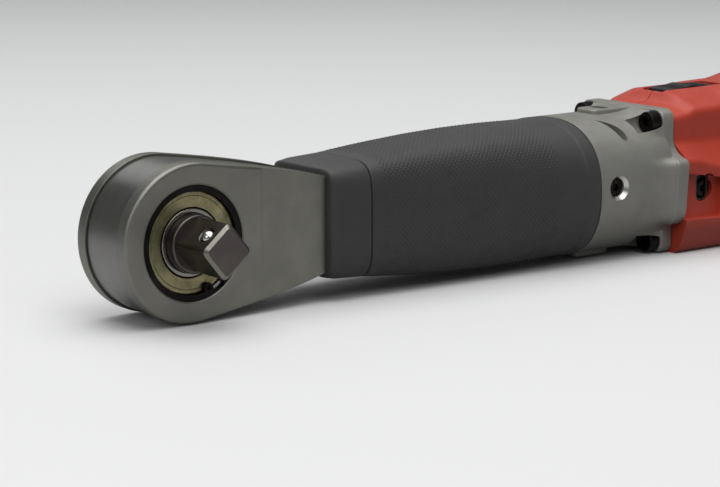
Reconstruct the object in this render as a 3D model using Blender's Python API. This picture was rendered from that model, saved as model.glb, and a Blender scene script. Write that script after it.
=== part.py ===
"""Cordless right-angle digital torque wrench with a half-inch square drive.

The tool lies on its edge. X runs along the tool from the head to the battery, Y is the drive
axis and the square points to -Y. A bevel pair turns the anvil, a torque tube inside the rubber
boot carries the reaction, and a planetary stage and a motor sit in the casting and the housing.
"""
import math

import bmesh
import bpy
from mathutils import Matrix, Vector

for old in list(bpy.data.objects):
    bpy.data.objects.remove(old)

# Fits shared by every piece
SEAT = 0.0003            # clearance where two pieces touch
RUN = 0.0003             # clearance round a piece that turns or slides
OVER = 0.002             # how far a cutter passes the face that it cuts
ROUND = 24               # sides of a large round piece
SMALL_ROUND = 10         # sides of a small round piece

# Head: two steel plates on a darker middle body
HEAD_RADIUS = 0.0245
HEAD_THICK = 0.0270
PLATE_THICK = 0.0049
BAND_INSET = 0.0007
HEAD_FILLET = 0.0013
NECK_LEAVE_ANGLE = math.radians(8)
NECK_BELLY = (0.0349, 0.0198)
NECK_MOUTH_X = 0.0500
NECK_MOUTH_HALF = 0.0153
NECK_END_X = 0.0600
NECK_END_HALF = 0.0140
NECK_FACET_X = 0.0245
NECK_FACET_DROP = 0.0007

# Output bearing, its retaining ring and the square drive
BEARING_OD = 0.0350
BEARING_BORE = 0.0170
BEARING_WIDTH = 0.0080
BEARING_RECESS = 0.0015
RACE_WALL = 0.0019
RACE_EDGE = 0.0014
RACE_GROOVE = 0.0010
RING_RECESS = 0.0003
RING_THICK = 0.0009
RING_INNER = 0.0158
RING_OUTER = 0.0184
RING_GROOVE = 0.0187
RING_GAP_ANGLE = math.radians(13)
RING_LUG_ANGLE = math.radians(-57)
RING_LUG_RADIUS = 0.0016
SQUARE_SIDE = 0.0127
SQUARE_CHAMFER = 0.0012
SQUARE_LENGTH = 0.0157
SQUARE_TIP_BEVEL = 0.0012
SQUARE_TURN = math.radians(39.8)
BOSS_PROUD = 0.0022
BALL_RADIUS = 0.0023
BALL_PROUD = 0.0010
BALL_FROM_ROOT = 0.0104
BALL_BORE_DEPTH = 0.0070
SPRING_WIRE = 0.00028

# Bevel pair: the pinion line lies behind the head's middle, clear of the output bearing
DRIVE_LINE_Y = 0.0020
BEVEL_MODULE = 0.0010
PINION_TEETH = 9
BEVEL_TEETH = 27
BEVEL_FACE = 0.0040
BEVEL_LASH = 0.00020
BEVEL_BACK = 0.0020
BEVEL_ADDENDUM = 0.0007
BEVEL_ROOT = 0.0015
PINION_ADDENDUM = 0.00125
PINION_ROOT = 0.00095
BEVEL_SHIFT = 0.25
SHAFT_RADIUS = 0.0035
SHAFT_REAR_X = 0.1690
BUSH_WALL = 0.0012
SPIGOT_RADIUS = 0.0040
SPIGOT_START_Y = 0.0036

# Torque tube and boot
TUBE_BORE = 0.0055
TUBE_WAIST = 0.0090
TUBE_FRONT_FLANGE = 0.0115
TUBE_REAR_FLANGE = 0.0170
GAUGE_LENGTH = 0.0240
GAUGE_WIDTH = 0.0080
GAUGE_THICK = 0.0006
GAUGE_X = 0.1080
COLLAR_END_X = 0.0650
SLEEVE_END_X = 0.1560
SLEEVE_WALL = 0.0026

# Gear case casting
CASE_START_X = SLEEVE_END_X + SEAT
TUBE_END_X = CASE_START_X + 0.0002
FLANGE_X = 0.1895
CASE_END_X = 0.1945
CASE_HALF_W = 0.0255
CASE_HALF_H = 0.0235
CASE_BORE = 0.0200
CASE_FRONT_WALL = 0.0050
PAD_X = 0.1720
PAD_Y = (-0.0045, 0.0052)
PAD_RISE = 0.0015
PAD_CORNER = 0.0025
PAD_RECESS_X = (0.1765, 0.1810)
PAD_RECESS_Y = (-0.0033, 0.0034)
FOOT_X = (0.1600, 0.1760)
FOOT_HALF_W = CASE_HALF_W - 0.0165
PORT_X = 0.1645
PORT_Z = 0.0015
PORT_RADIUS = 0.0032
EAR_HALF_W = CASE_HALF_W + 0.0032
WAIST_HALF_W = CASE_HALF_W - 0.0050
EAR_TOP_Z = 0.0092
EAR_LOW_Z = -0.0148
FLANGE_TOP_Z = CASE_HALF_H + 0.0017
FLANGE_LOW_Z = -CASE_HALF_H - 0.0012
UPPER_LUG = (CASE_HALF_W - 0.0094, CASE_HALF_H - 0.0026)
LOWER_LUG = (CASE_HALF_W - 0.0092, 0.0031 - CASE_HALF_H)
SLOT_START_X = 0.1670
SLOT_END_X = 0.1735
SLOT_WIDTH = 0.0042
SLOT_DEPTH = 0.0022
SCREW_SHANK = 0.0019
SCREW_HEAD = 0.00365
SCREW_HEAD_LENGTH = 0.0040
CASE_SCREW_REACH = 0.0080
SPOT_FACE = 0.0002

# Planetary stage
PLANET_MODULE = 0.00105
SUN_TEETH = 10
PLANET_TEETH = 11
RING_TEETH = SUN_TEETH + 2 * PLANET_TEETH
PLANET_COUNT = 3
PLANET_LASH = 0.00022
PLANET_X = 0.1740
PLANET_FACE = 0.0110
CARRIER_THICK = 0.0070
PLANET_PIN = 0.0020

# Motor
MOTOR_RADIUS = 0.0205
MOTOR_X = 0.2140
MOTOR_LENGTH = 0.0400
MOTOR_BORE = 0.0130
MOTOR_SHAFT = 0.0025
SKIRT_WALL = 0.0040
FAN_X = 0.2570
FAN_WIDTH = 0.0080
FAN_BLADES = 7
REAR_BEARING_X = 0.2680
REAR_BEARING_WIDTH = 0.0050
REAR_BEARING_RADIUS = 0.0080

# Housing halves, parted on the plane y = 0
FLOOR_Z = -CASE_HALF_H - 0.0015
HOUSING_START_X = CASE_END_X + SEAT
HOUSING_END_X = 0.5000
WALL = 0.0028
CABLE_WAY = 0.0040
CABLE_WAY_Z = 0.0085
BAY_START_X = 0.2760
BAY_END_X = 0.3300
SWITCH_BAY = (0.3520, 0.3960)
GRIP_BAY = (0.4020, 0.4900)
BRACKET_SCREW = (0.2060, -0.0030)
HOUSING_SCREW_PLACES = ((0.3380, -0.0120), (0.4070, -0.0040), (0.4800, -0.0160))
HOUSING_SCREW_HEAD = 0.0032
HOUSING_SCREW_HEIGHT = 0.0022
SCREW_THREAD = 0.0015
HOUSING_SCREW_SINK = 0.0030
RECESS_DEPTH = 0.0032
RECESS_SCREW_SINK = 0.0009

# Display side, +Y
DISPLAY_X = 0.2920
DISPLAY_Z = 0.0060
DISPLAY_LENGTH = 0.0440
DISPLAY_HEIGHT = 0.0300
BEZEL_FRAME = 0.0035
BEZEL_DEPTH = 0.0080
BEZEL_PROUD = 0.0012
LENS_THICK = 0.0016
PANEL_THICK = 0.0020
BOARD_THICK = 0.0016
BUTTON_X = (0.2780, 0.2920, 0.3060)
BUTTON_Z = -0.0165
BUTTON_RADIUS = 0.0040
BUTTON_PROUD = 0.0012
BUTTON_TRAVEL = 0.0008
BUTTON_STEM = 0.0060

# Direction selector on the top of the housing
SELECTOR_X = 0.2195
SELECTOR_LENGTH = 0.0230
SELECTOR_WIDTH = 0.0100
SELECTOR_TRAVEL = 0.0030

# Trigger on the -Y side of the grip
TRIGGER_PIN_X = 0.3500
TRIGGER_LENGTH = 0.0480
TRIGGER_WIDTH = 0.0140
TRIGGER_PIN = 0.0015
TRIGGER_PIN_Y = -0.0150
TRIGGER_SPRING_X = 0.3800

# Battery pack and its slide
PACK_X = 0.5040
PACK_LENGTH = 0.0560
PACK_LOW_Y = -0.0420
PACK_HIGH_Y = 0.0560
PACK_TOP = 0.0400
RAIL_DEPTH = 0.0070
RAIL_NECK = 0.0120
RAIL_HEAD = 0.0180
LATCH_SIZE = (0.0160, 0.0060, 0.0240)
LATCH_TRAVEL = 0.0025

# Places worked out from the sizes above
FRONT_Y = -HEAD_THICK / 2
BACK_Y = HEAD_THICK / 2
BAND_Y = HEAD_THICK / 2 - PLATE_THICK
BEARING_FRONT_Y = FRONT_Y + BEARING_RECESS
BEARING_BACK_Y = BEARING_FRONT_Y + BEARING_WIDTH
BOSS_Y = FRONT_Y - BOSS_PROUD
SQUARE_END_Y = BOSS_Y - SQUARE_LENGTH
JOURNAL = BEARING_BORE / 2 - SEAT
BEVEL_PITCH = BEVEL_MODULE * BEVEL_TEETH / 2
PINION_PITCH = BEVEL_MODULE * PINION_TEETH / 2
PLANET_ORBIT = PLANET_MODULE * (SUN_TEETH + PLANET_TEETH) / 2
BEVEL_SHARE = 1 - BEVEL_FACE / math.hypot(BEVEL_PITCH, PINION_PITCH)
GEAR_HUB_Y = DRIVE_LINE_Y + (PINION_PITCH - BEVEL_ADDENDUM) * BEVEL_SHARE

# The drawing is made about the head's centre; the world's origin is the end of the square drive
FRAME = bpy.data.objects.new("tool_frame", None)
bpy.context.scene.collection.objects.link(FRAME)
FRAME.location = (0, -SQUARE_END_Y, 0)


def material(name, color, roughness, metallic):
    """A Principled BSDF with one colour, given as linear red, green and blue."""
    made = bpy.data.materials.new(name)
    made.use_nodes = True
    shader = made.node_tree.nodes["Principled BSDF"]
    shader.inputs["Base Color"].default_value = (*color, 1)
    shader.inputs["Roughness"].default_value = roughness
    shader.inputs["Metallic"].default_value = metallic
    made.diffuse_color = (*color, 1)
    return made


def add_object(name, bm, finish, at=(0, 0, 0)):
    """Turn a bmesh into a smooth-shaded object, placed in the tool's frame."""
    bmesh.ops.recalc_face_normals(bm, faces=bm.faces)
    mesh = bpy.data.meshes.new(name)
    bm.to_mesh(mesh)
    bm.free()
    mesh.shade_smooth()
    mesh.set_sharp_from_angle(angle=math.radians(32))
    obj = bpy.data.objects.new(name, mesh)
    bpy.context.scene.collection.objects.link(obj)
    obj.parent = FRAME
    obj.location = at
    if finish:
        mesh.materials.append(material(name, *finish))
    return obj


def apply_tool(obj, bm, operation="DIFFERENCE", at=(0, 0, 0)):
    """Cut, join or intersect an object with a shape that stays out of the model."""
    tool = add_object(obj.name + "_tool", bm, None, at)
    tool.hide_render = True
    tool.display_type = "WIRE"
    step = obj.modifiers.new(operation.title(), "BOOLEAN")
    step.operation = operation
    step.object = tool
    step.solver = "EXACT"


def put(axis, u, v, t):
    """A point from two coordinates across an axis and one along it."""
    return {"X": (t, u, v), "Y": (u, t, v), "Z": (u, v, t)}[axis]


def turned(profile, axis="Y", sides=ROUND):
    """Body of revolution; the profile lists (radius, place along the axis) in order."""
    bm = bmesh.new()
    points = [bm.verts.new(put(axis, radius, 0, place)) for radius, place in profile]
    closed = all(radius > 0 for radius, place in profile)
    ends = points[1:] + points[:1] if closed else points[1:]
    edges = [bm.edges.new(pair) for pair in zip(points, ends)]
    centre_line = Vector(put(axis, 0, 0, 1))
    bmesh.ops.spin(bm, geom=points + edges, cent=(0, 0, 0), axis=centre_line,
                   angle=2 * math.pi, steps=sides, use_merge=True)
    bmesh.ops.remove_doubles(bm, verts=bm.verts, dist=0.0000005)
    return bm


def cylinder(radius, low, high, axis="Y", sides=SMALL_ROUND):
    """A plain round bar."""
    return turned([(0, low), (radius, low), (radius, high), (0, high)], axis, sides)


def tube(inner, outer, low, high, axis="Y", sides=ROUND, chamfer=0.0):
    """A round tube with an optional chamfer on its outer edges."""
    profile = [(inner, low), (outer - chamfer, low), (outer, low + chamfer)]
    profile += [(outer, high - chamfer), (outer - chamfer, high), (inner, high)]
    if not chamfer:
        profile = [(inner, low), (outer, low), (outer, high), (inner, high)]
    return turned(profile, axis, sides)


def skin(loops, ring=False):
    """Faces between loops of equal count; open ends are capped, a ring closes on itself."""
    bm = bmesh.new()
    rows = [[bm.verts.new(point) for point in loop] for loop in loops]
    pairs = list(zip(rows, rows[1:]))
    if ring:
        pairs.append((rows[-1], rows[0]))
    for first, second in pairs:
        for i in range(len(first)):
            j = (i + 1) % len(first)
            bm.faces.new((first[i], first[j], second[j], second[i]))
    if not ring:
        bm.faces.new(rows[0])
        bm.faces.new(list(reversed(rows[-1])))
    return bm


def inset(outline, amount):
    """An anticlockwise outline moved inwards by the same amount all round."""
    moved = []
    count = len(outline)
    for i in range(count):
        point = Vector(outline[i])
        arriving = (point - Vector(outline[i - 1])).normalized()
        leaving = (Vector(outline[(i + 1) % count]) - point).normalized()
        first = Vector((-arriving.y, arriving.x))
        second = Vector((-leaving.y, leaving.x))
        moved.append(point + (first + second) * (amount / (1 + first.dot(second))))
    return moved


def plate(outline, levels, axis="Y"):
    """A flat piece from one outline; each level is (place along the axis, inset)."""
    loops = []
    for place, amount in levels:
        loops.append([put(axis, u, v, place) for u, v in inset(outline, amount)])
    return skin(loops)


def block(low, high, edge=0.0):
    """A box between two corners, with its edges along Z chamfered if asked."""
    outline = chamfered(low[0], high[0], low[1], high[1], edge)
    return plate(outline, [(low[2], 0), (high[2], 0)], "Z")


def chamfered(low_u, high_u, low_v, high_v, edge):
    """A rectangle, anticlockwise, with cut corners if the edge isn't nought."""
    if not edge:
        return [(low_u, low_v), (high_u, low_v), (high_u, high_v), (low_u, high_v)]
    return [(low_u + edge, low_v), (high_u - edge, low_v), (high_u, low_v + edge),
            (high_u, high_v - edge), (high_u - edge, high_v), (low_u + edge, high_v),
            (low_u, high_v - edge), (low_u, low_v + edge)]


def rounded(low_u, high_u, low_v, high_v, radius, steps=4):
    """A rectangle, anticlockwise, with round corners."""
    outline = []
    corners = ((high_u - radius, high_v - radius, 0), (low_u + radius, high_v - radius, 1),
               (low_u + radius, low_v + radius, 2), (high_u - radius, low_v + radius, 3))
    for u, v, quarter in corners:
        for k in range(steps + 1):
            angle = (quarter + k / steps) * math.pi / 2
            outline.append((u + radius * math.cos(angle), v + radius * math.sin(angle)))
    return outline


def section(x, half_width, low, high, power, count=24):
    """One cross-section of a lofted piece: a superellipse."""
    middle, half = (low + high) / 2, (high - low) / 2
    loop = []
    for i in range(count):
        angle = 2 * math.pi * i / count
        c, s = math.cos(angle), math.sin(angle)
        y = half_width * math.copysign(abs(c) ** (2 / power), c)
        z = middle + half * math.copysign(abs(s) ** (2 / power), s)
        loop.append((x, y, z))
    return loop


def eased(stations, x):
    """Section sizes at a place between two stations, with a soft start and end."""
    for before, after in zip(stations, stations[1:]):
        if x <= after[0]:
            share = (x - before[0]) / (after[0] - before[0])
            share = share * share * (3 - 2 * share)
            return [a + (b - a) * share for a, b in zip(before[1:], after[1:])]
    return list(stations[-1][1:])


def involute(angle):
    """The involute function."""
    return math.tan(angle) - angle


PRESSURE = math.radians(20)


def tooth(teeth, module, addendum, dedendum, shift, lash, points):
    """One tooth as (radius, angle) pairs from root to tip and back; teeth may be virtual."""
    pitch = module * teeth / 2
    base = pitch * math.cos(PRESSURE)
    half = (math.pi / 2 + 2 * shift * math.tan(PRESSURE)) / teeth - lash / (2 * pitch)
    flank = []
    for k in range(points):
        radius = pitch - dedendum + (addendum + dedendum) * k / (points - 1)
        meeting = math.acos(min(1.0, base / radius))
        flank.append((radius, half + involute(PRESSURE) - involute(meeting)))
    rising = [(radius, -angle) for radius, angle in flank]
    return rising + list(reversed(flank))


def gear_outline(teeth, module, addendum, dedendum, lash, points, turn=0.0):
    """A spur gear's outline, anticlockwise, with a tooth centred on the turn angle."""
    shape = tooth(teeth, module, addendum, dedendum, 0, lash, points)
    outline = []
    for i in range(teeth):
        centre = turn + 2 * math.pi * i / teeth
        for radius, angle in shape:
            outline.append((radius * math.cos(centre + angle), radius * math.sin(centre + angle)))
    return outline


def bevel_rows(teeth, mate, addendum, dedendum, shift, points, axis, turn=0.0):
    """The big-end and small-end loops of a bevel gear whose cone apex is at the origin."""
    cone = math.atan2(teeth, mate)
    pitch = BEVEL_MODULE * teeth / 2
    back = pitch / math.cos(cone)
    shape = tooth(teeth / math.cos(cone), BEVEL_MODULE, addendum, dedendum, shift, BEVEL_LASH, points)
    big = []
    for i in range(teeth):
        centre = turn + 2 * math.pi * i / teeth
        for radius, angle in shape:
            height = radius - back
            across = pitch + height * math.cos(cone)
            along = pitch / math.tan(cone) - height * math.sin(cone)
            spot = centre + angle / math.cos(cone)
            big.append(Vector(put(axis, across * math.cos(spot), across * math.sin(spot), along)))
    return big, [point * BEVEL_SHARE for point in big]


def matched_circle(loop, radius, place, axis):
    """A circle with one point beside each point of a toothed loop."""
    circle = []
    for point in loop:
        u, v = {"X": (point.y, point.z), "Y": (point.x, point.z)}[axis]
        angle = math.atan2(v, u)
        circle.append(put(axis, radius * math.cos(angle), radius * math.sin(angle), place))
    return circle


def head_outline():
    """The head's round nose and its slightly convex taper to the boot, anticlockwise in X, Z."""
    start = (HEAD_RADIUS * math.sin(NECK_LEAVE_ANGLE), HEAD_RADIUS * math.cos(NECK_LEAVE_ANGLE))
    taper = []
    steps = 5
    for k in range(steps + 1):
        t = k / steps
        taper.append(tuple((1 - t) ** 2 * a + 2 * t * (1 - t) * b + t * t * c for a, b, c in
                           zip(start, NECK_BELLY, (NECK_MOUTH_X, NECK_MOUTH_HALF))))
    taper += [(NECK_MOUTH_X + 0.003, NECK_END_HALF), (NECK_END_X, NECK_END_HALF)]
    upper = list(reversed(taper))
    nose = []
    arc_start = math.pi / 2 - NECK_LEAVE_ANGLE
    arc = 2 * math.pi - 2 * arc_start
    points = 26
    for k in range(1, points):
        angle = arc_start + arc * k / points
        nose.append((HEAD_RADIUS * math.cos(angle), HEAD_RADIUS * math.sin(angle)))
    lower = [(x, -z) for x, z in taper]
    return upper + nose + lower


STEEL = ((0.115, 0.112, 0.102), 0.38, 1.0)
DARK_STEEL = ((0.035, 0.033, 0.032), 0.32, 1.0)
BRIGHT_STEEL = ((0.42, 0.41, 0.39), 0.25, 1.0)
ZINC = ((0.24, 0.21, 0.13), 0.35, 1.0)
BRONZE = ((0.32, 0.19, 0.08), 0.4, 1.0)
BLACK_STEEL = ((0.012, 0.011, 0.011), 0.45, 0.6)
RUBBER = ((0.028, 0.028, 0.027), 0.7, 0.0)
CASTING = ((0.235, 0.235, 0.222), 0.5, 0.7)
RED_PLASTIC = ((0.43, 0.075, 0.045), 0.42, 0.0)
BLACK_PLASTIC = ((0.016, 0.016, 0.017), 0.5, 0.0)
COPPER = ((0.42, 0.15, 0.06), 0.4, 1.0)
BOARD_GREEN = ((0.02, 0.11, 0.05), 0.5, 0.0)
LENS = ((0.03, 0.035, 0.04), 0.08, 0.0)
PANEL = ((0.28, 0.33, 0.26), 0.4, 0.0)


def make_head():
    """Front plate with the bearing seat, middle body, and rear plate with the anvil's spigot."""
    outline = head_outline()
    fillet = [(FRONT_Y, HEAD_FILLET), (FRONT_Y + HEAD_FILLET * 0.3, HEAD_FILLET * 0.3),
              (FRONT_Y + HEAD_FILLET, 0), (-BAND_Y, 0)]
    front = add_object("head_front_plate", plate(outline, fillet), STEEL)
    back = add_object("head_rear_plate", plate(outline, [(-y, i) for y, i in reversed(fillet)]), STEEL)
    for obj, side in ((front, -1), (back, 1)):
        face = side * HEAD_THICK / 2
        slope = [(NECK_FACET_X, face), (NECK_END_X + OVER, face - side * NECK_FACET_DROP),
                 (NECK_END_X + OVER, face + side * OVER), (NECK_FACET_X, face + side * OVER)]
        apply_tool(obj, plate(slope, [(-HEAD_RADIUS, 0), (HEAD_RADIUS, 0)], "Z"))

    seat = BEARING_OD / 2 + SEAT
    groove_low = FRONT_Y + RING_RECESS - SEAT
    groove_high = groove_low + RING_THICK + 2 * SEAT
    bore = [(0, FRONT_Y - OVER), (seat, FRONT_Y - OVER), (seat, groove_low), (RING_GROOVE, groove_low),
            (RING_GROOVE, groove_high), (seat, groove_high), (seat, -BAND_Y + OVER), (0, -BAND_Y + OVER)]
    apply_tool(front, turned(bore, sides=36))

    band = plate(outline, [(-BAND_Y + SEAT, BAND_INSET), (BAND_Y - SEAT, BAND_INSET)])
    body = add_object("head_body", band, DARK_STEEL)
    shoulder = BEVEL_PITCH + BEVEL_MODULE * 3
    chamber = [(0, -BAND_Y - OVER), (seat, -BAND_Y - OVER), (seat, BEARING_BACK_Y + SEAT),
               (shoulder, BEARING_BACK_Y + SEAT), (shoulder, BAND_Y + OVER), (0, BAND_Y + OVER)]
    apply_tool(body, turned(chamber))
    apply_tool(body, cylinder(PINION_PITCH + 1.5 * BEVEL_MODULE, HEAD_RADIUS * 0.4, NECK_FACET_X - 0.002, "X"),
               at=(0, DRIVE_LINE_Y, 0))
    apply_tool(body, cylinder(SHAFT_RADIUS + RUN + BUSH_WALL + SEAT, NECK_FACET_X - 0.003,
                              NECK_END_X + OVER, "X"), at=(0, DRIVE_LINE_Y, 0))

    pocket = bevel_back_y() + SEAT
    apply_tool(back, cylinder(shoulder + SEAT, BAND_Y - OVER, pocket))
    spigot = [(0, SPIGOT_START_Y), (SPIGOT_RADIUS - 0.0005, SPIGOT_START_Y),
              (SPIGOT_RADIUS, SPIGOT_START_Y + 0.0005), (SPIGOT_RADIUS, pocket + 0.001),
              (0, pocket + 0.001)]
    apply_tool(back, turned(spigot, sides=SMALL_ROUND), "UNION")


def bevel_back_y():
    """The back face of the bevel gear on the anvil."""
    return DRIVE_LINE_Y + PINION_PITCH + BEVEL_ROOT + BEVEL_BACK


def make_bearing():
    """Races, shield and the retaining ring that holds the bearing in the front plate."""
    outer = BEARING_OD / 2
    inner = BEARING_BORE / 2
    low, high = BEARING_FRONT_Y, BEARING_BACK_Y
    middle = (low + high) / 2
    race = [(outer - RACE_EDGE, low), (outer, low), (outer, high), (outer - RACE_EDGE, high),
            (outer - RACE_GROOVE, middle)]
    add_object("bearing_outer_race", turned(race, sides=36), BRIGHT_STEEL)
    wall = inner + RACE_WALL
    race = [(inner, low + 0.0005), (inner + 0.0005, low), (wall, low), (wall - RACE_GROOVE / 2, middle),
            (wall, high), (inner, high)]
    add_object("bearing_inner_race", turned(race, sides=ROUND), BRIGHT_STEEL)
    shield_in, shield_out = wall + RUN, outer - RACE_EDGE - SEAT
    add_object("bearing_shield", tube(shield_in, shield_out, low, low + 0.0006, sides=36), ZINC)

    ring_low = FRONT_Y + RING_RECESS
    half_gap = RING_GAP_ANGLE / 2
    outline = []
    steps = 30
    for radius, order in ((RING_OUTER, 1), (RING_INNER, -1)):
        angles = [RING_LUG_ANGLE + half_gap + (2 * math.pi - 2 * half_gap) * k / steps for k in range(steps + 1)]
        for angle in angles[::order]:
            outline.append((radius * math.cos(angle), radius * math.sin(angle)))
    ring = add_object("bearing_retaining_ring", plate(outline, [(ring_low, 0), (ring_low + RING_THICK, 0)]),
                      BLACK_STEEL)
    for side in (-1, 1):
        angle = RING_LUG_ANGLE + side * (half_gap + RING_LUG_RADIUS / RING_INNER)
        reach = RING_INNER - RING_LUG_RADIUS * 0.4
        spot = (reach * math.cos(angle), 0, reach * math.sin(angle))
        apply_tool(ring, cylinder(RING_LUG_RADIUS, ring_low, ring_low + RING_THICK, sides=12), "UNION", spot)
        apply_tool(ring, cylinder(0.0007, ring_low - OVER, ring_low + RING_THICK + OVER, sides=8), at=spot)


def square_outline(side, chamfer):
    """The drive square's section, turned as it stands on the tool."""
    half = side / 2
    c, s = math.cos(SQUARE_TURN), math.sin(SQUARE_TURN)
    return [(c * u - s * v, s * u + c * v) for u, v in chamfered(-half, half, -half, half, chamfer)]


def make_anvil():
    """Output shaft with the square, its detent ball and spring, and the bevel gear."""
    shoulder_y = BEARING_BACK_Y + SEAT
    shoulder = JOURNAL + 0.0008
    bush_bore = SPIGOT_RADIUS + 2 * RUN + BUSH_WALL * 1.4 + SEAT
    shaft_end = bevel_back_y() - 0.0004
    profile = [(0, BOSS_Y), (JOURNAL - 0.0006, BOSS_Y), (JOURNAL, BOSS_Y + 0.0006), (JOURNAL, shoulder_y),
               (shoulder, shoulder_y), (shoulder, GEAR_HUB_Y - SEAT), (JOURNAL, GEAR_HUB_Y - SEAT),
               (JOURNAL, shaft_end), (bush_bore, shaft_end), (bush_bore, SPIGOT_START_Y - 0.0006),
               (0, SPIGOT_START_Y - 0.0006)]
    anvil = add_object("anvil", turned(profile, sides=ROUND), DARK_STEEL)
    levels = [(SQUARE_END_Y, SQUARE_TIP_BEVEL), (SQUARE_END_Y + SQUARE_TIP_BEVEL * 1.2, 0), (BOSS_Y + 0.001, 0)]
    apply_tool(anvil, plate(square_outline(SQUARE_SIDE, SQUARE_CHAMFER), levels), "UNION")

    normal = SQUARE_TURN + math.pi / 2
    out = Vector((math.cos(normal), 0, math.sin(normal)))
    ball_y = BOSS_Y - BALL_FROM_ROOT
    face = SQUARE_SIDE / 2
    bore = cylinder(BALL_RADIUS + RUN, face - BALL_BORE_DEPTH, face + OVER, "Z")
    spin_to(bore, out)
    apply_tool(anvil, bore, at=(0, ball_y, 0))

    ball_at = out * (face + BALL_PROUD - BALL_RADIUS)
    bm = bmesh.new()
    bmesh.ops.create_uvsphere(bm, u_segments=14, v_segments=8, radius=BALL_RADIUS)
    add_object("detent_ball", bm, BRIGHT_STEEL, (ball_at.x, ball_y, ball_at.z))

    low = face - BALL_BORE_DEPTH + SEAT + SPRING_WIRE
    high = face + BALL_PROUD - 2 * BALL_RADIUS - SEAT
    make_spring("detent_spring", BALL_RADIUS * 0.6, SPRING_WIRE, low, high, 3, out, (0, ball_y, 0))

    big, small = bevel_rows(BEVEL_TEETH, PINION_TEETH, BEVEL_ADDENDUM, BEVEL_ROOT, -BEVEL_SHIFT, 2, "Y")
    back = bevel_back_y() - DRIVE_LINE_Y
    bore_radius = JOURNAL + SEAT
    rows = [matched_circle(big, bore_radius, GEAR_HUB_Y - DRIVE_LINE_Y, "Y"), small, big,
            matched_circle(big, bore_radius, back, "Y")]
    add_object("anvil_bevel_gear", skin(rows, ring=True), DARK_STEEL, (0, DRIVE_LINE_Y, 0))
    add_object("anvil_bush", tube(SPIGOT_RADIUS + RUN, bush_bore - SEAT, SPIGOT_START_Y, shaft_end), BRONZE)


def spin_to(bm, direction):
    """Turn a shape drawn along +Z so that it points in a direction."""
    turn = Vector((0, 0, 1)).rotation_difference(direction)
    bmesh.ops.rotate(bm, cent=(0, 0, 0), matrix=turn.to_matrix(), verts=bm.verts)


def make_spring(name, radius, wire, low, high, turns, direction, at, sides=5, per_turn=8):
    """A compression spring drawn along +Z between two heights, then turned to a direction."""
    total = turns * per_turn
    loops = []
    climb = (high - low) / total
    for k in range(total + 1):
        angle = 2 * math.pi * k / per_turn
        out = Vector((math.cos(angle), math.sin(angle), 0))
        centre = out * radius + Vector((0, 0, low + climb * k))
        rim = []
        for i in range(sides):
            a = 2 * math.pi * i / sides
            rim.append(centre + out * (wire * math.cos(a)) + Vector((0, 0, wire * math.sin(a))))
        loops.append(rim)
    bm = skin(loops)
    spin_to(bm, direction)
    add_object(name, bm, BRIGHT_STEEL, at)


def make_pinion():
    """Bevel pinion on its long shaft, with the bush in the neck."""
    big, small = bevel_rows(PINION_TEETH, BEVEL_TEETH, PINION_ADDENDUM, PINION_ROOT, BEVEL_SHIFT, 3, "X",
                            math.pi / PINION_TEETH)
    back = max(point.x for point in big) + 0.0010
    hub = PINION_PITCH - 0.6 * BEVEL_MODULE
    rows = [small, big, matched_circle(big, hub, back, "X")]
    pinion = add_object("pinion_shaft", skin(rows), STEEL, (0, DRIVE_LINE_Y, 0))
    apply_tool(pinion, cylinder(SHAFT_RADIUS, back - 0.0005, SHAFT_REAR_X, "X"), "UNION", (0, DRIVE_LINE_Y, 0))
    bush = tube(SHAFT_RADIUS + RUN, SHAFT_RADIUS + RUN + BUSH_WALL, NECK_FACET_X, NECK_FACET_X + 0.0200, "X",
                SMALL_ROUND)
    add_object("pinion_bush", bush, BRONZE, (0, DRIVE_LINE_Y, 0))


def make_torque_tube():
    """Reaction tube between the head and the gear case, with a strain gauge on each flat."""
    start = NECK_END_X + SEAT
    end = TUBE_END_X
    profile = [(TUBE_BORE, start), (TUBE_FRONT_FLANGE, start), (TUBE_FRONT_FLANGE, start + 0.0040),
               (TUBE_WAIST, start + 0.0090), (TUBE_WAIST, end - 0.0150),
               (TUBE_REAR_FLANGE, end - 0.0060), (TUBE_REAR_FLANGE, end), (TUBE_BORE, end)]
    beam = add_object("torque_tube", turned(profile, "X"), BRIGHT_STEEL, (0, DRIVE_LINE_Y, 0))
    flat = TUBE_WAIST - 0.0008
    for side, name in ((1, "strain_gauge_upper"), (-1, "strain_gauge_lower")):
        z = sorted((side * flat, side * (flat + OVER)))
        half = GAUGE_LENGTH / 2 + 0.003
        slot = block((GAUGE_X - half, -TUBE_WAIST, z[0]), (GAUGE_X + half, TUBE_WAIST, z[1]))
        apply_tool(beam, slot, at=(0, DRIVE_LINE_Y, 0))
        z = sorted((side * (flat + SEAT), side * (flat + SEAT + GAUGE_THICK)))
        gauge = block((GAUGE_X - GAUGE_LENGTH / 2, -GAUGE_WIDTH / 2, z[0]),
                      (GAUGE_X + GAUGE_LENGTH / 2, GAUGE_WIDTH / 2, z[1]), 0.001)
        add_object(name, gauge, COPPER, (0, DRIVE_LINE_Y, 0))


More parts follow.
